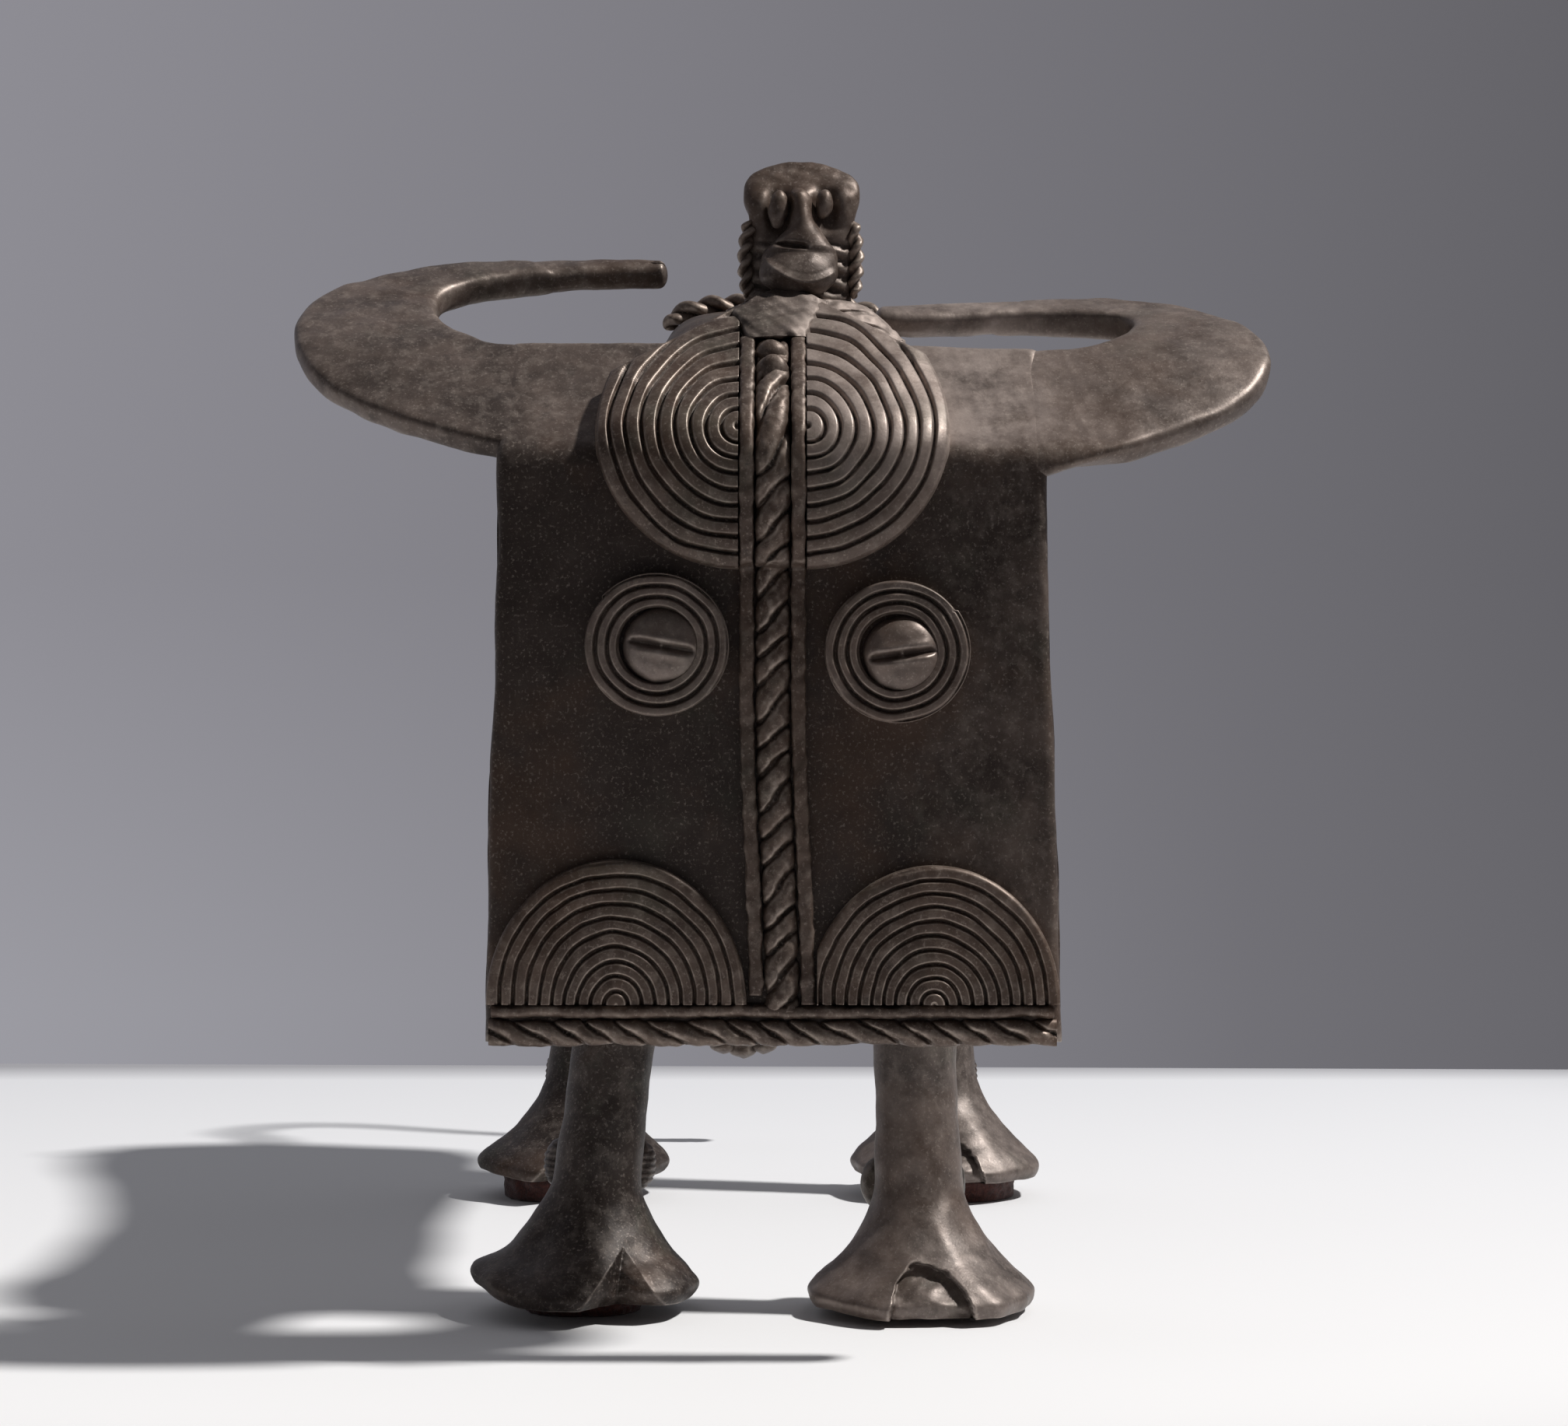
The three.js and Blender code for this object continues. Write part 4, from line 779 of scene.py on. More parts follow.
def crown_hill(material):
    """Hill behind the brow's top, steep at its foot and easing off, with the domes' grooves running on over
    it: level ovals that narrow upwards."""
    t = np.concatenate([np.zeros(24), steps(60) ** 1.4])
    share = (1 - np.minimum(t, 0.9995)) ** 0.55
    half_width = HILL_TOP_HALF_WIDTH + (HILL_FOOT_HALF_WIDTH - HILL_TOP_HALF_WIDTH) * share
    z = HILL_TOP - (1 - t) * HILL_HEIGHT
    z[:24] = np.linspace(HILL_FOOT, HILL_TOP - HILL_HEIGHT, 25)[:24]
    half_width = np.append(half_width, HILL_TOP_HALF_WIDTH * np.array([0.7, 0.4, 0.1]))
    z = np.append(z, HILL_TOP + np.array([0.05, 0.08, 0.1]))
    middle = np.stack([0 * z + HEAD_X, 0 * z + HEAD_Y, z], -1)
    angle = turns(200)[None, :]
    rings = level_rings(middle, half_width, 1.2 + 0.38 * half_width, angle)
    threads = groove(np.hypot(rings[..., 0] - 8.5, (rings[..., 2] - 96) * 1.1) / 1.5, 0.14)
    facing = np.clip(-np.sin(angle), 0, 1) * smooth(3.0, 4.5, rings[..., 0])
    rings[..., 1] += 0.4 * threads * facing
    rings = roughened(rings, 1.5, 0.10, 71)
    hill = loft(roughened(rings, 3.6, 0.14, 72), 2)
    return piece("crown_hill", [hill, crown_saddle()], material, "crown_mound", dust_and_painted_light=crown_dust_and_painted_shadow)


def run_along(path):
    """Distance along a path at each of its points."""
    return np.append(0, np.cumsum(np.linalg.norm(np.diff(path, axis=0), axis=1)))


def path_frame(path, lean):
    """Unit vectors square to a path and to each other. The first leans towards the given direction."""
    along = np.gradient(path, axis=0)
    along /= np.linalg.norm(along, axis=1, keepdims=True)
    lean = np.array(lean, float)
    first = lean - along * (along @ lean)[:, None]
    first /= np.linalg.norm(first, axis=1, keepdims=True)
    return first, np.cross(along, first)


def rope(path, radius, pitch, around_count=30, lean=(0, 0, 1)):
    """Two-strand rope carried along a path: rings square to the path, turned by half a turn a pitch."""
    run = run_along(path)
    up, aside = path_frame(path, lean)
    angle = turns(around_count)[None, :]
    end = np.sqrt(np.clip(np.minimum(run, run[-1] - run) / radius, 0.02, 1))[:, None]
    r = two_strand(angle, radius * end, math.pi * run[:, None] / pitch)
    return path[:, None, :] + (r * np.cos(angle))[..., None] * up[:, None] + (
        r * np.sin(angle))[..., None] * aside[:, None]


def crown_collar(material):
    """Twisted rope round the back of the hill's top."""
    angle = np.linspace(-0.05, 1.05, 240) * math.pi
    path = np.stack([
        HEAD_X - COLLAR_HALF_WIDTH * np.cos(angle), HEAD_Y + COLLAR_BEHIND + COLLAR_DEPTH * np.sin(angle),
        HILL_TOP - COLLAR_DROP * (1 - np.clip(np.sin(angle), -0.2, 1))], -1)
    twist = rope(path, COLLAR_RADIUS, COLLAR_PITCH)
    return piece("crown_collar_twist", loft(twist, 2), material, "crown_collar")


def small_head_crest(angle):
    """Nape and fan-shaped crest: level rounded squares whose half width and half depth follow the head's
    outline, with a deep socket for each eye and a flat brow over them."""
    rise = [0, 3.0, 5.6, 7.2, 9.0, 10.3, 11.6, 12.7, 13.4, 14.0, 14.3]
    width = [5.4, 5.15, 5.15, 5.15, 5.55, 5.85, 5.85, 5.3, 4.3, 2.8, 1.2]
    depth = [1.8, 1.75, 1.8, 1.95, 2.05, 2.0, 1.6, 1.2, 0.85, 0.5, 0.2]
    lean = [-0.3, 0, 0, 0.15, 0.1, 0.05, 0.05, 0.05, 0, 0, 0]
    back = [0, 0, 0, 0, 0, 0.1, 0.5, 1.0, 1.35, 1.55, 1.6]
    t = np.sort(np.concatenate([steps(110), 1 - 0.04 * steps(8)[1:-1]]))
    outline = spline(np.stack([rise, width, depth, lean, back], -1), t)
    x = np.maximum(outline[:, 1:2], 0.1) * squared(np.cos(angle), 2.5)
    y = outline[:, 4:5] + np.maximum(outline[:, 2:3], 0.1) * squared(np.sin(angle), 2.5)
    z = outline[:, 0:1] + 0 * angle
    facing = np.clip(-np.sin(angle) * 1.6, 0, 1)
    for eye_x, eye_z, _, long in SMALL_EYES.values():
        socket = np.exp(-np.abs((x - eye_x) / 1.35) ** 3 - np.abs((z - eye_z + 0.35) / (long + 0.55)) ** 3)
        y = y + 1.35 * socket * facing
    dish = np.exp(-(x / 4.0) ** 2 - ((z - 12.3) / 1.3) ** 2)
    y = y + 0.4 * dish * facing
    nape = np.clip(np.sin(angle), 0, 1) * smooth(7.5, 6, z)
    beside = smooth(6.5, 5.5, z) * facing
    y = y + 0.25 * nape * np.sin(z * 3.4) * np.cos(x * 2.2) + 0.2 * beside * np.sin(z * 4.0 + x)
    rings = np.stack([HEAD_X + outline[:, 3:4] + x, HEAD_Y + y, HILL_TOP + z], -1)
    return loft(roughened(rings, 1.9, 0.07, 73), 2)


def small_head_muzzle(angle):
    """Nose ridge that widens downwards into a spoon-shaped muzzle: level ovals whose front runs forward and
    back, with a slit for the mouth, a dish under it and a lip below the dish."""
    rise = [0.3, 0.8, 1.6, 2.4, 3.4, 4.4, 5.2, 6.0, 7.4, 9.0, 10.6, 11.4]
    width = [0.8, 2.5, 3.5, 3.9, 3.95, 3.8, 3.45, 2.7, 1.6, 1.15, 1.0, 0.5]
    front = [3.2, 4.6, 5.35, 5.6, 5.2, 4.6, 4.2, 3.95, 3.6, 3.2, 2.7, 1.7]
    depth = [0.8, 1.8, 2.5, 2.8, 2.8, 2.6, 2.3, 2.1, 1.9, 1.6, 1.1, 0.4]
    lean = [0.0, -0.1, -0.3, -0.3, -0.25, -0.1, 0.0, 0.1, 0.2, 0.15, -0.1, -0.3]
    outline = spline(np.stack([rise, width, front, depth, lean], -1), steps(150))
    x = outline[:, 1:2] * np.cos(angle)
    y = outline[:, 3:4] * (1 + np.sin(angle)) - outline[:, 2:3]
    z = outline[:, 0:1] + 0 * angle
    facing = np.clip(-np.sin(angle) * 1.3, 0, 1)
    mouth = np.exp(-((z - 5.35 + 0.12 * x) / 0.24) ** 2) * smooth(-2.9, -2.2, x) * smooth(1.0, 0.2, x)
    lip_line = 1.45 + 0.135 * (x - 0.9) ** 2
    lip = np.exp(-((z - lip_line) / 0.3) ** 2)
    dish = smooth(lip_line + 0.1, lip_line + 1.0, z) * smooth(5.4, 4.6, z)
    y = y + (0.9 * mouth - 0.22 * lip + 0.28 * dish) * facing
    rings = np.stack([HEAD_X + outline[:, 4:5] + x, HEAD_Y + y, HILL_TOP + z], -1)
    return loft(roughened(rings, 2.2, 0.07, 74), 2)


def small_head(material):
    """The crest and the muzzle, sunk into each other."""
    angle = turns(150)[None, :]
    return piece(
        "small_head_cast", [small_head_crest(angle), small_head_muzzle(angle)], material, "small_head")


def small_eye(name, material):
    """Long pellet set in the small head's socket."""
    across, rise, broad, long = SMALL_EYES[name]
    middle = np.array([HEAD_X + across, HEAD_Y - 1.75, HILL_TOP + rise])
    pellet = egg(middle, (broad, 0.95, long), 0.1)
    return piece(f"small_head_{name}_eye", pellet, material, f"small_eye_{name}")


def small_braid(name, side, material):
    """Twisted braid hanging from the crest beside the muzzle."""
    reach = MUZZLE_HALF_WIDTH + BRAID_GAP + BRAID_RADIUS
    out = [reach - 0.45, reach, reach + 0.15, reach, reach - 0.1]
    rise = [8.3, 6.5, 4.2, 2.0, 0.3]
    stations = np.stack([np.array(out) * side + HEAD_X, [HEAD_Y - 0.5] * 5, np.array(rise) + HILL_TOP], -1)
    line = spline(stations, steps(140))
    twist = roughened(rope(line, BRAID_RADIUS, BRAID_PITCH, 26, (0, 1, 0)), 1.0, 0.04, 76)
    return piece(f"small_head_{name}_braid", loft(twist, 2), material, f"small_braid_{name}")


def barrel_station(y):
    """Middle height, half width and half height of the barrel at places along it."""
    table = np.array(BARREL, float)
    return spline(table[:, 1:], y, table[:, 0])


def barrel_ring(y, angle, grow=0.0):
    """Rounded-square ring, squarer on top towards the rump: half size times the squared cosine and sine."""
    size = barrel_station(y)
    rear = np.clip((y / BARREL_LENGTH - 0.51) / (0.82 - 0.51), 0, 1)[:, None]
    power = np.where(np.sin(angle) > 0, 2.6 + 2.0 * rear, 2.6)
    x = (size[:, 1:2] + grow) * squared(np.cos(angle), power)
    z = size[:, 0:1] + (size[:, 2:3] + grow) * squared(np.sin(angle), power)
    return np.stack([x, y[:, None] + 0 * x, z], -1)


def barrel(material):
    """Barrel from chest to rump. Shrinking rings close it, flat at the chest and as a shallow dome at the
    rump."""
    angle = turns(200)[None, :]
    y = np.concatenate([np.linspace(0, 9, 18), np.linspace(9.6, BARREL_LENGTH - 9, 150),
                        np.linspace(BARREL_LENGTH - 8.6, BARREL_LENGTH, 24)])
    rings = barrel_ring(y, angle)
    last = rings[-1]
    middle = last.mean(0)
    shrink = np.cos(steps(8)[1:] * UPRIGHT * 0.97)[:, None, None]
    bulge = np.sin(steps(8)[1:] * UPRIGHT)[:, None, None] * np.array([0, 1.0, 0])
    chest = rings[0]
    inwards = np.sin(steps(8)[:-1] * UPRIGHT * 0.97 + 0.02)[:, None, None]
    chest_rings = chest.mean(0) + (chest - chest.mean(0)) * inwards
    rings = np.concatenate([chest_rings, rings, middle + (last - middle) * shrink + bulge])
    rings = roughened(rings, 16, 0.22, 81)
    return piece("barrel", loft(roughened(rings, 4, 0.06, 82), 3), material, "body")


def neck(material):
    """Oval neck from the back of the mask to the chest."""
    places = np.array([MASK_FRONT + MASK_THICKNESS - 0.4, -9, 0.6])
    y = np.linspace(places[0], places[-1], 60)
    size = spline(NECK, y, places)
    angle = turns(90)[None, :]
    x = size[:, 1:2] * np.cos(angle)
    z = size[:, 0:1] + size[:, 2:3] * np.sin(angle)
    rings = np.stack([x, y[:, None] + 0 * x, z], -1)
    return piece("neck_root", loft(roughened(rings, 6, 0.12, 83), 2), material, "neck")


def rump_rope(material):
    """Twisted rope over the rump, along the barrel's outline at even steps."""
    angle = np.radians(np.linspace(134, 46, 260))
    y = np.array([BARREL_LENGTH - RUMP_ROPE_AHEAD])
    path = barrel_ring(y, angle[None, :], RUMP_ROPE_RADIUS * 0.72)[0]
    run = run_along(path)
    path = np.stack([np.interp(steps(260) * run[-1], run, values) for values in path.T], -1)
    twist = rope(path, RUMP_ROPE_RADIUS, RUMP_ROPE_PITCH)
    return piece("rump_rope_twist", loft(twist, 2), material, "rump_rope")


def tail(material):
    """Thin tail: round rings along a curve that rises behind the rump and hangs down to the tuft."""
    rump_z = BARREL[-1][1]
    top = rump_z + TAIL_RISE
    drop = top - TAIL_END[1]
    forward = TAIL_FORWARD / TAIL_BEHIND
    stations = np.array([
        (0, -0.06, rump_z - 0.5), (0, 0.23, rump_z + 0.26 * TAIL_RISE), (0.13, 0.5, top),
        (0.25, 0.88, top - 0.07 * drop), (0.4, 1, top - 0.24 * drop),
        (0.7, 1 - 0.55 * forward, TAIL_END[1] + 0.42 * drop),
        (1, 1 - forward, TAIL_END[1] + 0.07 * drop), (1, 1 - forward, TAIL_END[1] - 0.6)])
    points = np.stack([
        stations[:, 0] * TAIL_END[0], BARREL_LENGTH + stations[:, 1] * TAIL_BEHIND, stations[:, 2]], -1)
    gaps = np.linalg.norm(np.diff(points, axis=0), axis=1) ** 0.5
    places = np.append(0, np.cumsum(gaps)) / gaps.sum()
    path = spline(points, steps(200), places)
    radius = TAIL_RADIUS + (TAIL_TIP_RADIUS - TAIL_RADIUS) * steps(200)
    aside, other = path_frame(path, (1, 0, 0))
    angle = turns(28)[None, :, None]
    spokes = np.cos(angle) * aside[:, None] + np.sin(angle) * other[:, None]
    rings = path[:, None] + radius[:, None, None] * spokes
    return piece("tail_rod", loft(roughened(rings, 3, 0.08, 84), 2), material, "tail")


def tail_tuft(material):
    """Three long drops side by side at the end of the tail."""
    top = TAIL_END[1] - 0.2
    y = BARREL_LENGTH + TAIL_BEHIND - TAIL_FORWARD
    t = steps(60)
    share = spline([0.25, 0.5, 0.8, 0.95, 1.0, 0.7, 0.05], t, [0, 0.1, 0.35, 0.6, 0.8, 0.95, 1])
    drops = []
    for place in (-1, 0, 1):
        spread = place * TUFT_RADIUS * 1.45 * smooth(-0.3, 0.8, t)
        length = TUFT_LENGTH * (1 if place == 0 else 0.93)
        middle = np.stack([TAIL_END[0] + spread, 0 * t + y, top - t * length], -1)
        rings = level_rings(middle, TUFT_RADIUS * share, TUFT_RADIUS * share, turns(36)[None, :])
        drops.append(loft(roughened(rings, 2, 0.06, 85), 2))
    return piece("tail_tuft_drops", drops, material, "tail_tuft")


def leg_profile(height, pad):
    """Radius of a leg at heights over its sole: flared hoof, thin shaft, then the swell of the shoulder.
    The rows from the shaft's upper half on stand at heights over the floor, less the pad."""
    rows = np.array([
        (0, 0.955 * HOOF_RADIUS), (0.06 * HOOF_HEIGHT, 0.99 * HOOF_RADIUS), (0.12 * HOOF_HEIGHT, HOOF_RADIUS),
        (0.24 * HOOF_HEIGHT, 0.925 * HOOF_RADIUS),
        (0.42 * HOOF_HEIGHT, 0.75 * HOOF_RADIUS), (0.68 * HOOF_HEIGHT, 0.57 * HOOF_RADIUS),
        (HOOF_HEIGHT, 0.42 * HOOF_RADIUS), (1.5 * HOOF_HEIGHT, SHAFT_RADIUS), (37 - pad, SHAFT_RADIUS),
        (48 - pad, SHAFT_RADIUS), (57 - pad, (SHAFT_RADIUS + HIP_RADIUS) / 2), (66 - pad, HIP_RADIUS),
        (75 - pad, 0.9 * HIP_RADIUS), (HIP_Z - pad, 0.4 * HIP_RADIUS)])
    return spline(rows[:, 1], height, rows[:, 0])


def leg_middle(place, z):
    """Middle of a leg at heights over the floor, leaning out to the hoof and back to the hip."""
    pad = place["pad"]
    xs = [place["hoof"], (place["hoof"] + place["shin"]) / 2, place["shin"], place["hip"]]
    x = spline(xs, np.clip(z, pad, HIP_Z), [pad, (pad + SHIN_Z) / 2, SHIN_Z, HIP_Z])
    y = place["foot_y"] + (place["hip_y"] - place["foot_y"]) * (z - pad) / (HIP_Z - pad)
    return np.stack([x, y, z], -1)


def leg(name, place, material):
    """Level rings up the leg. In front, the hoof's rings step in where the outline of the cleft is: a gable,
    or on the right feet an arch. The points of a ring lie closest together at the cleft."""
    pad = place["pad"]
    height = np.concatenate([
        np.zeros(1), np.linspace(0.04, 0.9, 12), np.linspace(1.0, CLEFT_HEIGHT + 0.6, 50),
        np.linspace(CLEFT_HEIGHT + 0.8, 16, 30), np.linspace(16.6, 80 - pad, 70)])
    radius = leg_profile(height, pad)
    radius[0] -= 0.5
    cleft_turn = math.asin((place["cleft"] + 0.5) / HOOF_RADIUS)
    warp = turns(260)
    angle = (warp - 0.62 * np.sin(warp - cleft_turn))[None, :] - UPRIGHT
    middle = leg_middle(place, pad + height)
    rings = level_rings(middle, radius, radius, angle)
    flare = smooth(14, 7, height)[:, None]
    rough = np.stack([rings[..., 0], rings[..., 1], rings[..., 2] * 0.35], -1)
    rings[..., :2] += ((rings - middle[:, None])[..., :2]
                       * (0.035 * flare * waves(rough, 7, 90 + len(name)))[..., None])
    across = (rings[..., 0] - middle[:, None, 0]) - place["cleft"]
    share = np.where(across < 0, -across / place["cleft_sides"][0], across / place["cleft_sides"][1])
    rise = height[:, None] + 0 * across
    front = smooth(-2, -5, rings[..., 1] - middle[:, None, 1])
    ragged = waves(rings, 1.6, 91)
    if place["arched"]:
        limit = CLEFT_HEIGHT * np.sqrt(np.maximum(1 - share ** 2, 0)) - 0.4
        cut = ARCH_DEPTH * smooth(-0.05, 0.5, limit + 0.22 * ragged - rise) * (1 + 0.06 * ragged)
    else:
        limit = CLEFT_HEIGHT * (1 - share)
        cut = GABLE_DEPTH * np.clip((limit - rise) / CLEFT_HEIGHT, 0, 1) * (1 + 0.06 * ragged)
    rings[..., 1] += cut * front
    rings = roughened(rings, 3.2, 0.07, 92)
    aside = (middle[:, None, 0] - rings[..., 0]) / HOOF_RADIUS
    rings[..., 2] += place["lift"] * smooth(0.45, 1.05, aside) * smooth(7, 0, rise)
    return piece(f"{name}_leg_cast", loft(rings, 2), material, f"{name}_leg", dust_and_painted_light=leg_dust_and_painted_light)


def dewclaw(name, place, side, material):
    """Ridged knob behind the leg: level rings of a round bulge, pinched in between its threads."""
    z = place["dewclaw"]
    size = 1 if name == "front_left" or (name == "front_right" and side < 0) else SMALL_CLAW
    reach = leg_profile(np.array([z - place["pad"]]), place["pad"])[0] + (size - 0.5) * DEWCLAW_RADIUS
    middle = leg_middle(place, np.array([z]))[0]
    centre = middle + np.array([side * reach * math.sin(DEWCLAW_ANGLE), reach * math.cos(DEWCLAW_ANGLE), 0])
    rise = np.linspace(-0.97, 0.97, 50) * UPRIGHT
    ridge = 1 - DEWCLAW_RIDGE * groove(np.sin(rise) * 4, 0.2) * (0 if name == "front_right" else 1)
    radius = size * DEWCLAW_RADIUS * squared(np.cos(rise), 2.4) * ridge
    line = centre + np.stack([0 * rise, 0 * rise, DEWCLAW_HEIGHT / 2 * np.sin(rise)], -1)
    rings = level_rings(line, radius, radius, turns(40)[None, :])
    word = "left" if side < 0 else "right"
    return piece(
        f"{name}_{word}_claw", loft(roughened(rings, 1.6, 0.06, 94), 2), material, f"{name}_dewclaw_{word}")


def foot_pad(name, place, material):
    """Patch of felt: a rounded-square outline stacked through its thickness, its edges a little soft."""
    height = place["pad"]
    t = steps(24)
    near_face = np.clip(1 - 4 * np.minimum(t, 1 - t), 0, 1)
    soft = PAD_EDGE * (1 - np.sqrt(1 - near_face ** 2))
    angle = turns(150)[None, :]
    radius = (place["pad_radius"] - soft)[:, None] * np.ones_like(angle)
    fuzzy = np.stack(np.broadcast_arrays(6 * np.cos(angle), 6 * np.sin(angle), 2 * t[:, None]), -1)
    radius = radius + 0.12 * waves(fuzzy, 1.2, 95)
    x = place["hoof"] + radius * squared(np.cos(angle), 2.6)
    y = place["foot_y"] + place["pad_back"] + radius * squared(np.sin(angle), 2.6)
    rings = np.stack([x, y, height * t[:, None] + 0 * x], -1)
    made = piece(f"{name}_felt", loft(rings, 2), material, f"{name}_pad", slot="pad")
    return made


def node(tree, kind, settings=None, **inputs):
    """A shader node, its settings made and its inputs set or linked. An input named s3 is socket 3."""
    made = tree.nodes.new(kind)
    for key, value in (settings or {}).items():
        setattr(made, key, value)
    for key, value in inputs.items():
        numbered = key[0] == "s" and key[1:].isdigit()
        socket = made.inputs[int(key[1:]) if numbered else key]
        if isinstance(value, bpy.types.NodeSocket):
            tree.links.new(value, socket)
        else:
            socket.default_value = value
    return made


def noise(tree, place, scale, detail=4.0, roughness=0.55):
    """Noise round 0.5, with about so many grains a metre."""
    made = node(tree, "ShaderNodeTexNoise", Vector=place, Scale=scale, Detail=detail, Roughness=roughness)
    return made.outputs[0]


def ranged(tree, value, low, high, to_low=0.0, to_high=1.0):
    """The value, with its range from low to high mapped to another range and kept inside it."""
    return node(tree, "ShaderNodeMapRange", s0=value, s1=low, s2=high, s3=to_low, s4=to_high).outputs[0]


def times(tree, a, b, operation="MULTIPLY"):
    """Two values multiplied, added or subtracted. All but a difference are kept from 0 to 1."""
    settings = {"operation": operation, "use_clamp": operation != "SUBTRACT"}
    return node(tree, "ShaderNodeMath", settings, s0=a, s1=b).outputs[0]


def mixed(tree, share, a, b):
    """Colour a with a share of colour b. Each is a socket or three numbers."""
    made = node(tree, "ShaderNodeMix", {"data_type": "RGBA"}, s0=share)
    for number, value in ((6, a), (7, b)):
        if isinstance(value, bpy.types.NodeSocket):
            tree.links.new(value, made.inputs[number])
        else:
            made.inputs[number].default_value = (*value, 1.0)
    return made.outputs[2]


def new_material(name):
    """A material, its tree, its shader and the coordinates of the object."""
    material = bpy.data.materials.new(name)
    material.use_nodes = True
    tree = material.node_tree
    place = tree.nodes.new("ShaderNodeTexCoord").outputs["Object"]
    return material, tree, tree.nodes["Principled BSDF"], place


def bronze(name, dark, brown, worn, grime_and_shade_colour, grime_and_shade_share, patina_share, roughness, grain=0.35):
    """Patinated cast bronze: dark and brown clouds, pits and rust, bare worn metal on raised places, grime in
    the hollows, whose darker colours paint the hollows' shade too, a few green-grey stains, and a fine cast
    grain in the bump. Dust, and painted light, lie on it where the dust attribute is above 0, and its skin is
    dark, in places as painted shade, where that is below 0."""
    material, tree, shader, place = new_material(name)
    relief = node(tree, "ShaderNodeAttribute", {"attribute_name": "relief"}).outputs["Fac"]
    dust_and_painted_light = node(tree, "ShaderNodeAttribute", {"attribute_name": "dust_and_painted_light"}).outputs["Fac"]
    clouds = noise(tree, place, 120, 6, 0.6)
    specks = noise(tree, place, 700, 5, 0.7)
    fine = noise(tree, place, 3000, 4, 0.65)
    colour = mixed(tree, ranged(tree, clouds, 0.38, 0.62), dark, brown)
    colour = mixed(tree, times(tree, ranged(tree, specks, 0.48, 0.72), 0.26), colour, worn)
    pits = times(tree, ranged(tree, noise(tree, place, 420, 5, 0.7), 0.43, 0.33), 0.45)
    colour = mixed(tree, pits, colour, PIT)
    # Dark skin where the attribute is below 0; on the mask's left, the hill's left and the left legs it is
    # painted shade.
    dark_skin_and_shade = ranged(tree, dust_and_painted_light, 0, -1, 0, 0.82)
    colour = mixed(tree, dark_skin_and_shade, colour, DARK_SKIN_AND_SHADE)
    rust = times(tree, ranged(tree, noise(tree, place, 58, 5, 0.6), 0.49, 0.62), 0.5)
    colour = mixed(tree, rust, colour, RUST)
    raised = times(tree, ranged(tree, relief, -0.05, -0.35), ranged(tree, specks, 0.30, 0.62))
    colour = mixed(tree, times(tree, raised, 0.75), colour, worn)
    # Dust where the attribute is above 0; on the right of the mask, the right dome and the right legs it is
    # painted light.
    dust_and_light_cover = times(tree, dust_and_painted_light, ranged(tree, noise(tree, place, 260, 6, 0.7), 0.34, 0.62, 0.25, 1.0))
    colour = mixed(tree, times(tree, dust_and_light_cover, 0.85), colour, DUST_AND_LIT_COLOUR)
    stains = times(tree, ranged(tree, noise(tree, place, 70, 6, 0.65), 0.56, 0.66), patina_share)
    colour = mixed(tree, stains, colour, GREEN_STAIN)
    # Grime in the hollows; where its colour is dark, as on the threads, the small head and the hill, it is
    # painted shade.
    hollow = times(tree, ranged(tree, relief, 0.03, 0.22), ranged(tree, specks, 0.36, 0.60))
    dusty_and_shaded = times(tree, hollow, grime_and_shade_share)
    colour = mixed(tree, dusty_and_shaded, colour, grime_and_shade_colour)
    sparkle = ranged(tree, fine, 0.56, 0.68)
    colour = mixed(tree, times(tree, sparkle, 0.33), colour, worn)
    tree.links.new(colour, shader.inputs["Base Color"])
    tree.links.new(ranged(tree, dusty_and_shaded, 0, 1, METAL_SHARE, 0.0), shader.inputs["Metallic"])
    rough = ranged(tree, specks, 0.3, 0.7, roughness - 0.05, roughness + 0.10)
    rough = times(tree, rough, times(tree, dusty_and_shaded, 0.4), "ADD")
    rough = times(tree, rough, times(tree, dark_skin_and_shade, 0.12), "ADD")
    rough = times(tree, rough, times(tree, raised, 0.10), "SUBTRACT")
    tree.links.new(rough, shader.inputs["Roughness"])
    grit = times(tree, times(tree, fine, 0.5), times(tree, specks, 0.5), "ADD")
    bump = node(tree, "ShaderNodeBump", Strength=grain, Distance=0.00012, Height=grit)
    tree.links.new(bump.outputs[0], shader.inputs["Normal"])
    return material


def felt(name):
    """Dark red felt: matted fibres as fine noise in colour and bump."""
    material, tree, shader, place = new_material(name)
    fibres = noise(tree, place, 2600, 5, 0.75)
    clumps = noise(tree, place, 420, 3)
    colour = mixed(tree, ranged(tree, fibres, 0.35, 0.65), (0.022, 0.006, 0.005), (0.105, 0.030, 0.022))
    colour = mixed(tree, times(tree, ranged(tree, clumps, 0.5, 0.75), 0.5), colour, (0.05, 0.016, 0.013))
    tree.links.new(colour, shader.inputs["Base Color"])
    shader.inputs["Roughness"].default_value = 0.95
    shader.inputs["Sheen Weight"].default_value = 0.25
    bump = node(tree, "ShaderNodeBump", Strength=0.8, Distance=0.0003, Height=fibres)
    tree.links.new(bump.outputs[0], shader.inputs["Normal"])
    return material


METAL_SHARE = 0.4
# Dust colour, also laid on as painted light where the lamp falls.
DUST_AND_LIT_COLOUR = (0.39, 0.32, 0.285)
RUST = (0.082, 0.044, 0.026)
# Dark skin colour, also laid on as painted shade.
DARK_SKIN_AND_SHADE = (0.024, 0.0145, 0.011)
PIT = (0.02, 0.014, 0.012)
GREEN_STAIN = (0.095, 0.110, 0.078)
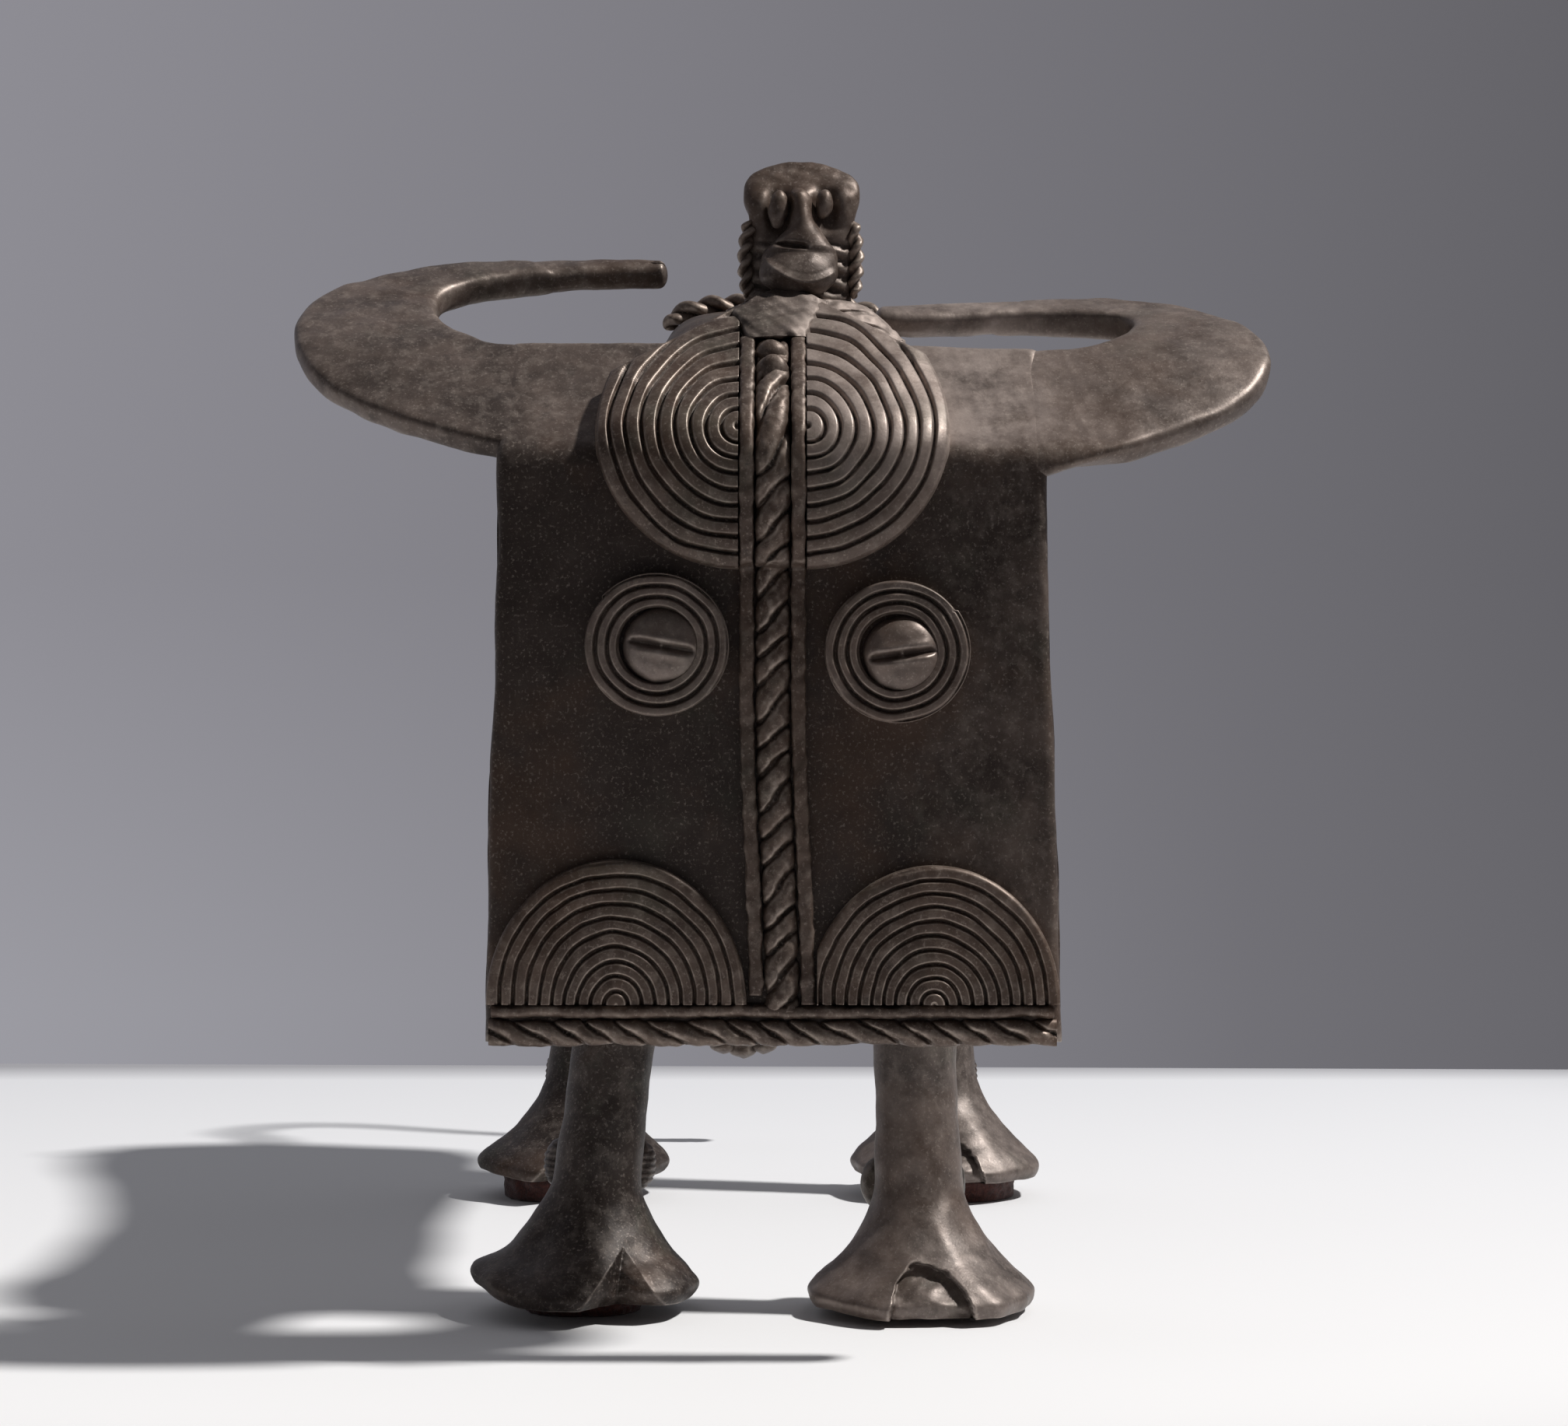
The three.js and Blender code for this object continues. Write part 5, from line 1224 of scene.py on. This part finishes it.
# Each bronze's fifth colour fills its hollows: grime, which on the threads, the small head and the hill is
# dark painted shade.
THREAD_BRONZE = bronze(
    "thread bronze", (0.070, 0.046, 0.035), (0.124, 0.087, 0.068), (0.47, 0.39, 0.33), (0.014, 0.009, 0.006),
    grime_and_shade_share=0.9, patina_share=0.2, roughness=0.46)
HORN_BRONZE = bronze(
    "horn bronze", (0.040, 0.027, 0.021), (0.132, 0.097, 0.080), (0.44, 0.37, 0.32), (0.05, 0.036, 0.027),
    grime_and_shade_share=0.3, patina_share=0.12, roughness=0.42, grain=0.3)
HEAD_BRONZE = bronze(
    "head bronze", (0.070, 0.049, 0.039), (0.132, 0.098, 0.081), (0.44, 0.37, 0.32), (0.016, 0.011, 0.008),
    grime_and_shade_share=0.8, patina_share=0.12, roughness=0.45)
LEG_BRONZE = bronze(
    "leg bronze", (0.022, 0.015, 0.012), (0.056, 0.041, 0.034), (0.40, 0.34, 0.30), (0.07, 0.055, 0.043),
    grime_and_shade_share=0.35, patina_share=0.25, roughness=0.44)
BARREL_BRONZE = bronze(
    "barrel bronze", (0.044, 0.031, 0.026), (0.088, 0.066, 0.054), (0.32, 0.27, 0.23), (0.05, 0.036, 0.027),
    grime_and_shade_share=0.3, patina_share=0.2, roughness=0.48)
HILL_BRONZE = bronze(
    "dusty bronze", (0.068, 0.049, 0.040), (0.120, 0.090, 0.075), (0.42, 0.35, 0.30), (0.04, 0.028, 0.021),
    grime_and_shade_share=0.6, patina_share=0.1, roughness=0.6)
PAD_FELT = felt("dark red felt")

mask_plate(HORN_BRONZE)
for horn_name, horn_shape in HORNS.items():
    horn_blade(horn_name, horn_shape, HORN_BRONZE)
for side_name, side_sign in (("left", -1), ("right", 1)):
    forehead_coil(side_name, side_sign, THREAD_BRONZE)
    nose_border(side_name, side_sign, THREAD_BRONZE)
    eye_coil(side_name, THREAD_BRONZE)
    eye_boss(side_name, HORN_BRONZE)
    cheek_arcs(side_name, side_sign, THREAD_BRONZE)
    small_eye(side_name, HEAD_BRONZE)
    small_braid(side_name, side_sign, THREAD_BRONZE)
nose_rope(THREAD_BRONZE)
chin_bar(THREAD_BRONZE)
chin_rope(THREAD_BRONZE)
crown_hill(HILL_BRONZE)
crown_collar(THREAD_BRONZE)
small_head(HEAD_BRONZE)
barrel(BARREL_BRONZE)
neck(BARREL_BRONZE)
rump_rope(THREAD_BRONZE)
tail(BARREL_BRONZE)
tail_tuft(BARREL_BRONZE)
for leg_name, leg_place in LEGS.items():
    leg(leg_name, leg_place, LEG_BRONZE)
    foot_pad(leg_name, leg_place, PAD_FELT)
    for claw_side in (-1, 1):
        dewclaw(leg_name, leg_place, claw_side, LEG_BRONZE)


# Table, camera, lamp, backdrop and sky. Lengths are in metres
FLOOR_BACK = 0.240
FLOOR_FADE = 0.02
FLOOR_FRONT = 0.9
FLOOR_SIDE = 1.2
FLOOR_SLANT = 0.035
# Table colours: white in front, with painted shade that greys it further back and darkens its back edge.
NEAR_WHITE = (0.85, 0.85, 0.86)
FAR_SHADED_WHITE = (0.66, 0.67, 0.70)
EDGE_SHADED_GREY = (0.33, 0.33, 0.355)
CAMERA_DIP = math.radians(0.97)
CAMERA_LENS = 89.3
TO_LIGHT = Vector((0.70, -0.06, 1.0))
LAMP_AWAY = 3.0
LAMP_AIM = Vector((0.0, 0.10, 0.03))
LAMP_REACH = 0.27
LAMP_POWER = 415
LAMP_RADIUS = 0.10
BACKDROP_LEFT = (0.27, 0.265, 0.295)
BACKDROP_RIGHT = (0.126, 0.123, 0.136)
BACKDROP_LOW = (0.42, 0.42, 0.46)
BACKDROP_FRONT = (0.095, 0.094, 0.10)
SKY = (0.42, 0.42, 0.445)
SKY_FRONT = (0.035, 0.034, 0.036)


def floor():
    """White table top, which ends a little way behind the figurine in a slanting edge, and painted shade that
    greys it towards that edge."""
    x, y = ORIGIN[0], ORIGIN[1]
    slant = FLOOR_SLANT * FLOOR_SIDE
    corners = [
        (x - FLOOR_SIDE, y - FLOOR_FRONT, 0), (x + FLOOR_SIDE, y - FLOOR_FRONT, 0),
        (x + FLOOR_SIDE, y + FLOOR_BACK - slant, 0), (x - FLOOR_SIDE, y + FLOOR_BACK + slant, 0)]
    mesh = bpy.data.meshes.new("floor")
    mesh.from_pydata(corners, [], [(0, 1, 2, 3)])
    made = bpy.data.objects.new("floor", mesh)
    bpy.context.scene.collection.objects.link(made)
    material, tree, shader, place = new_material("white table")
    parts = node(tree, "ShaderNodeSeparateXYZ", Vector=place)
    # Painted shade: the colour greys further back and darkens at the table's back edge.
    far = ranged(tree, parts.outputs[1], ORIGIN[1] - 0.05, ORIGIN[1] + FLOOR_BACK)
    edge = ranged(tree, parts.outputs[1], ORIGIN[1] + FLOOR_BACK - FLOOR_FADE, ORIGIN[1] + FLOOR_BACK)
    white = mixed(tree, far, NEAR_WHITE, FAR_SHADED_WHITE)
    tree.links.new(mixed(tree, edge, white, EDGE_SHADED_GREY), shader.inputs["Base Color"])
    shader.inputs["Roughness"].default_value = 0.85
    shader.inputs["Specular IOR Level"].default_value = 0.2
    mesh.materials.append(material)


def studio():
    """Soft sky that is dark on the camera's side, a grey backdrop where it is seen or mirrored, and one
    distant lamp from the upper right whose beam ends a little in front of the figurine."""
    world = bpy.data.worlds.new("studio")
    world.use_nodes = True
    tree = world.node_tree
    path = tree.nodes.new("ShaderNodeLightPath").outputs
    seen = times(tree, path["Is Camera Ray"], path["Is Transmission Ray"], "ADD")
    seen = times(tree, seen, path["Is Glossy Ray"], "ADD")
    direction = tree.nodes.new("ShaderNodeTexCoord").outputs["Generated"]
    parts = node(tree, "ShaderNodeSeparateXYZ", Vector=direction)
    grey = mixed(tree, ranged(tree, parts.outputs[0], -0.2, 0.2), BACKDROP_LEFT, BACKDROP_RIGHT)
    near_table = ranged(tree, parts.outputs[2], 0.02, -0.09)
    low = times(tree, near_table, ranged(tree, parts.outputs[0], 0.12, -0.2, 0.1, 1))
    grey = mixed(tree, times(tree, low, 0.40), grey, BACKDROP_LOW)
    front = ranged(tree, parts.outputs[1], 0.35, -0.35)
    grey = mixed(tree, front, grey, BACKDROP_FRONT)
    sky = mixed(tree, front, SKY, SKY_FRONT)
    background = tree.nodes["Background"]
    tree.links.new(mixed(tree, seen, sky, grey), background.inputs["Color"])
    background.inputs["Strength"].default_value = 1.0
    bpy.context.scene.world = world

    spot = bpy.data.lights.new("lamp", "SPOT")
    spot.energy = LAMP_POWER
    spot.shadow_soft_size = LAMP_RADIUS
    spot.spot_size = 2 * math.atan(LAMP_REACH / LAMP_AWAY)
    spot.spot_blend = 0.25
    spot.color = (1.0, 0.98, 0.95)
    lamp = bpy.data.objects.new("lamp", spot)
    lamp.location = Vector(ORIGIN) + LAMP_AIM + LAMP_AWAY * TO_LIGHT.normalized()
    lamp.rotation_mode = "QUATERNION"
    lamp.rotation_quaternion = TO_LIGHT.to_track_quat("Z", "Y")
    bpy.context.scene.collection.objects.link(lamp)


def camera():
    """The photograph's view: level with the cheeks, dipping a little, at 0.4 m from the chest."""
    data = bpy.data.cameras.new("camera")
    data.sensor_width = 36
    data.lens = CAMERA_LENS
    data.clip_start = 0.01
    data.clip_end = 20
    made = bpy.data.objects.new("camera", data)
    made.location = Vector(ORIGIN + np.array([CAMERA_X, CAMERA_Y, CAMERA_Z]) * MM)
    made.rotation_euler = (UPRIGHT - CAMERA_DIP, 0, 0)
    bpy.context.scene.collection.objects.link(made)
    bpy.context.scene.camera = made


floor()
studio()
camera()
bpy.context.scene.view_settings.view_transform = "Standard"
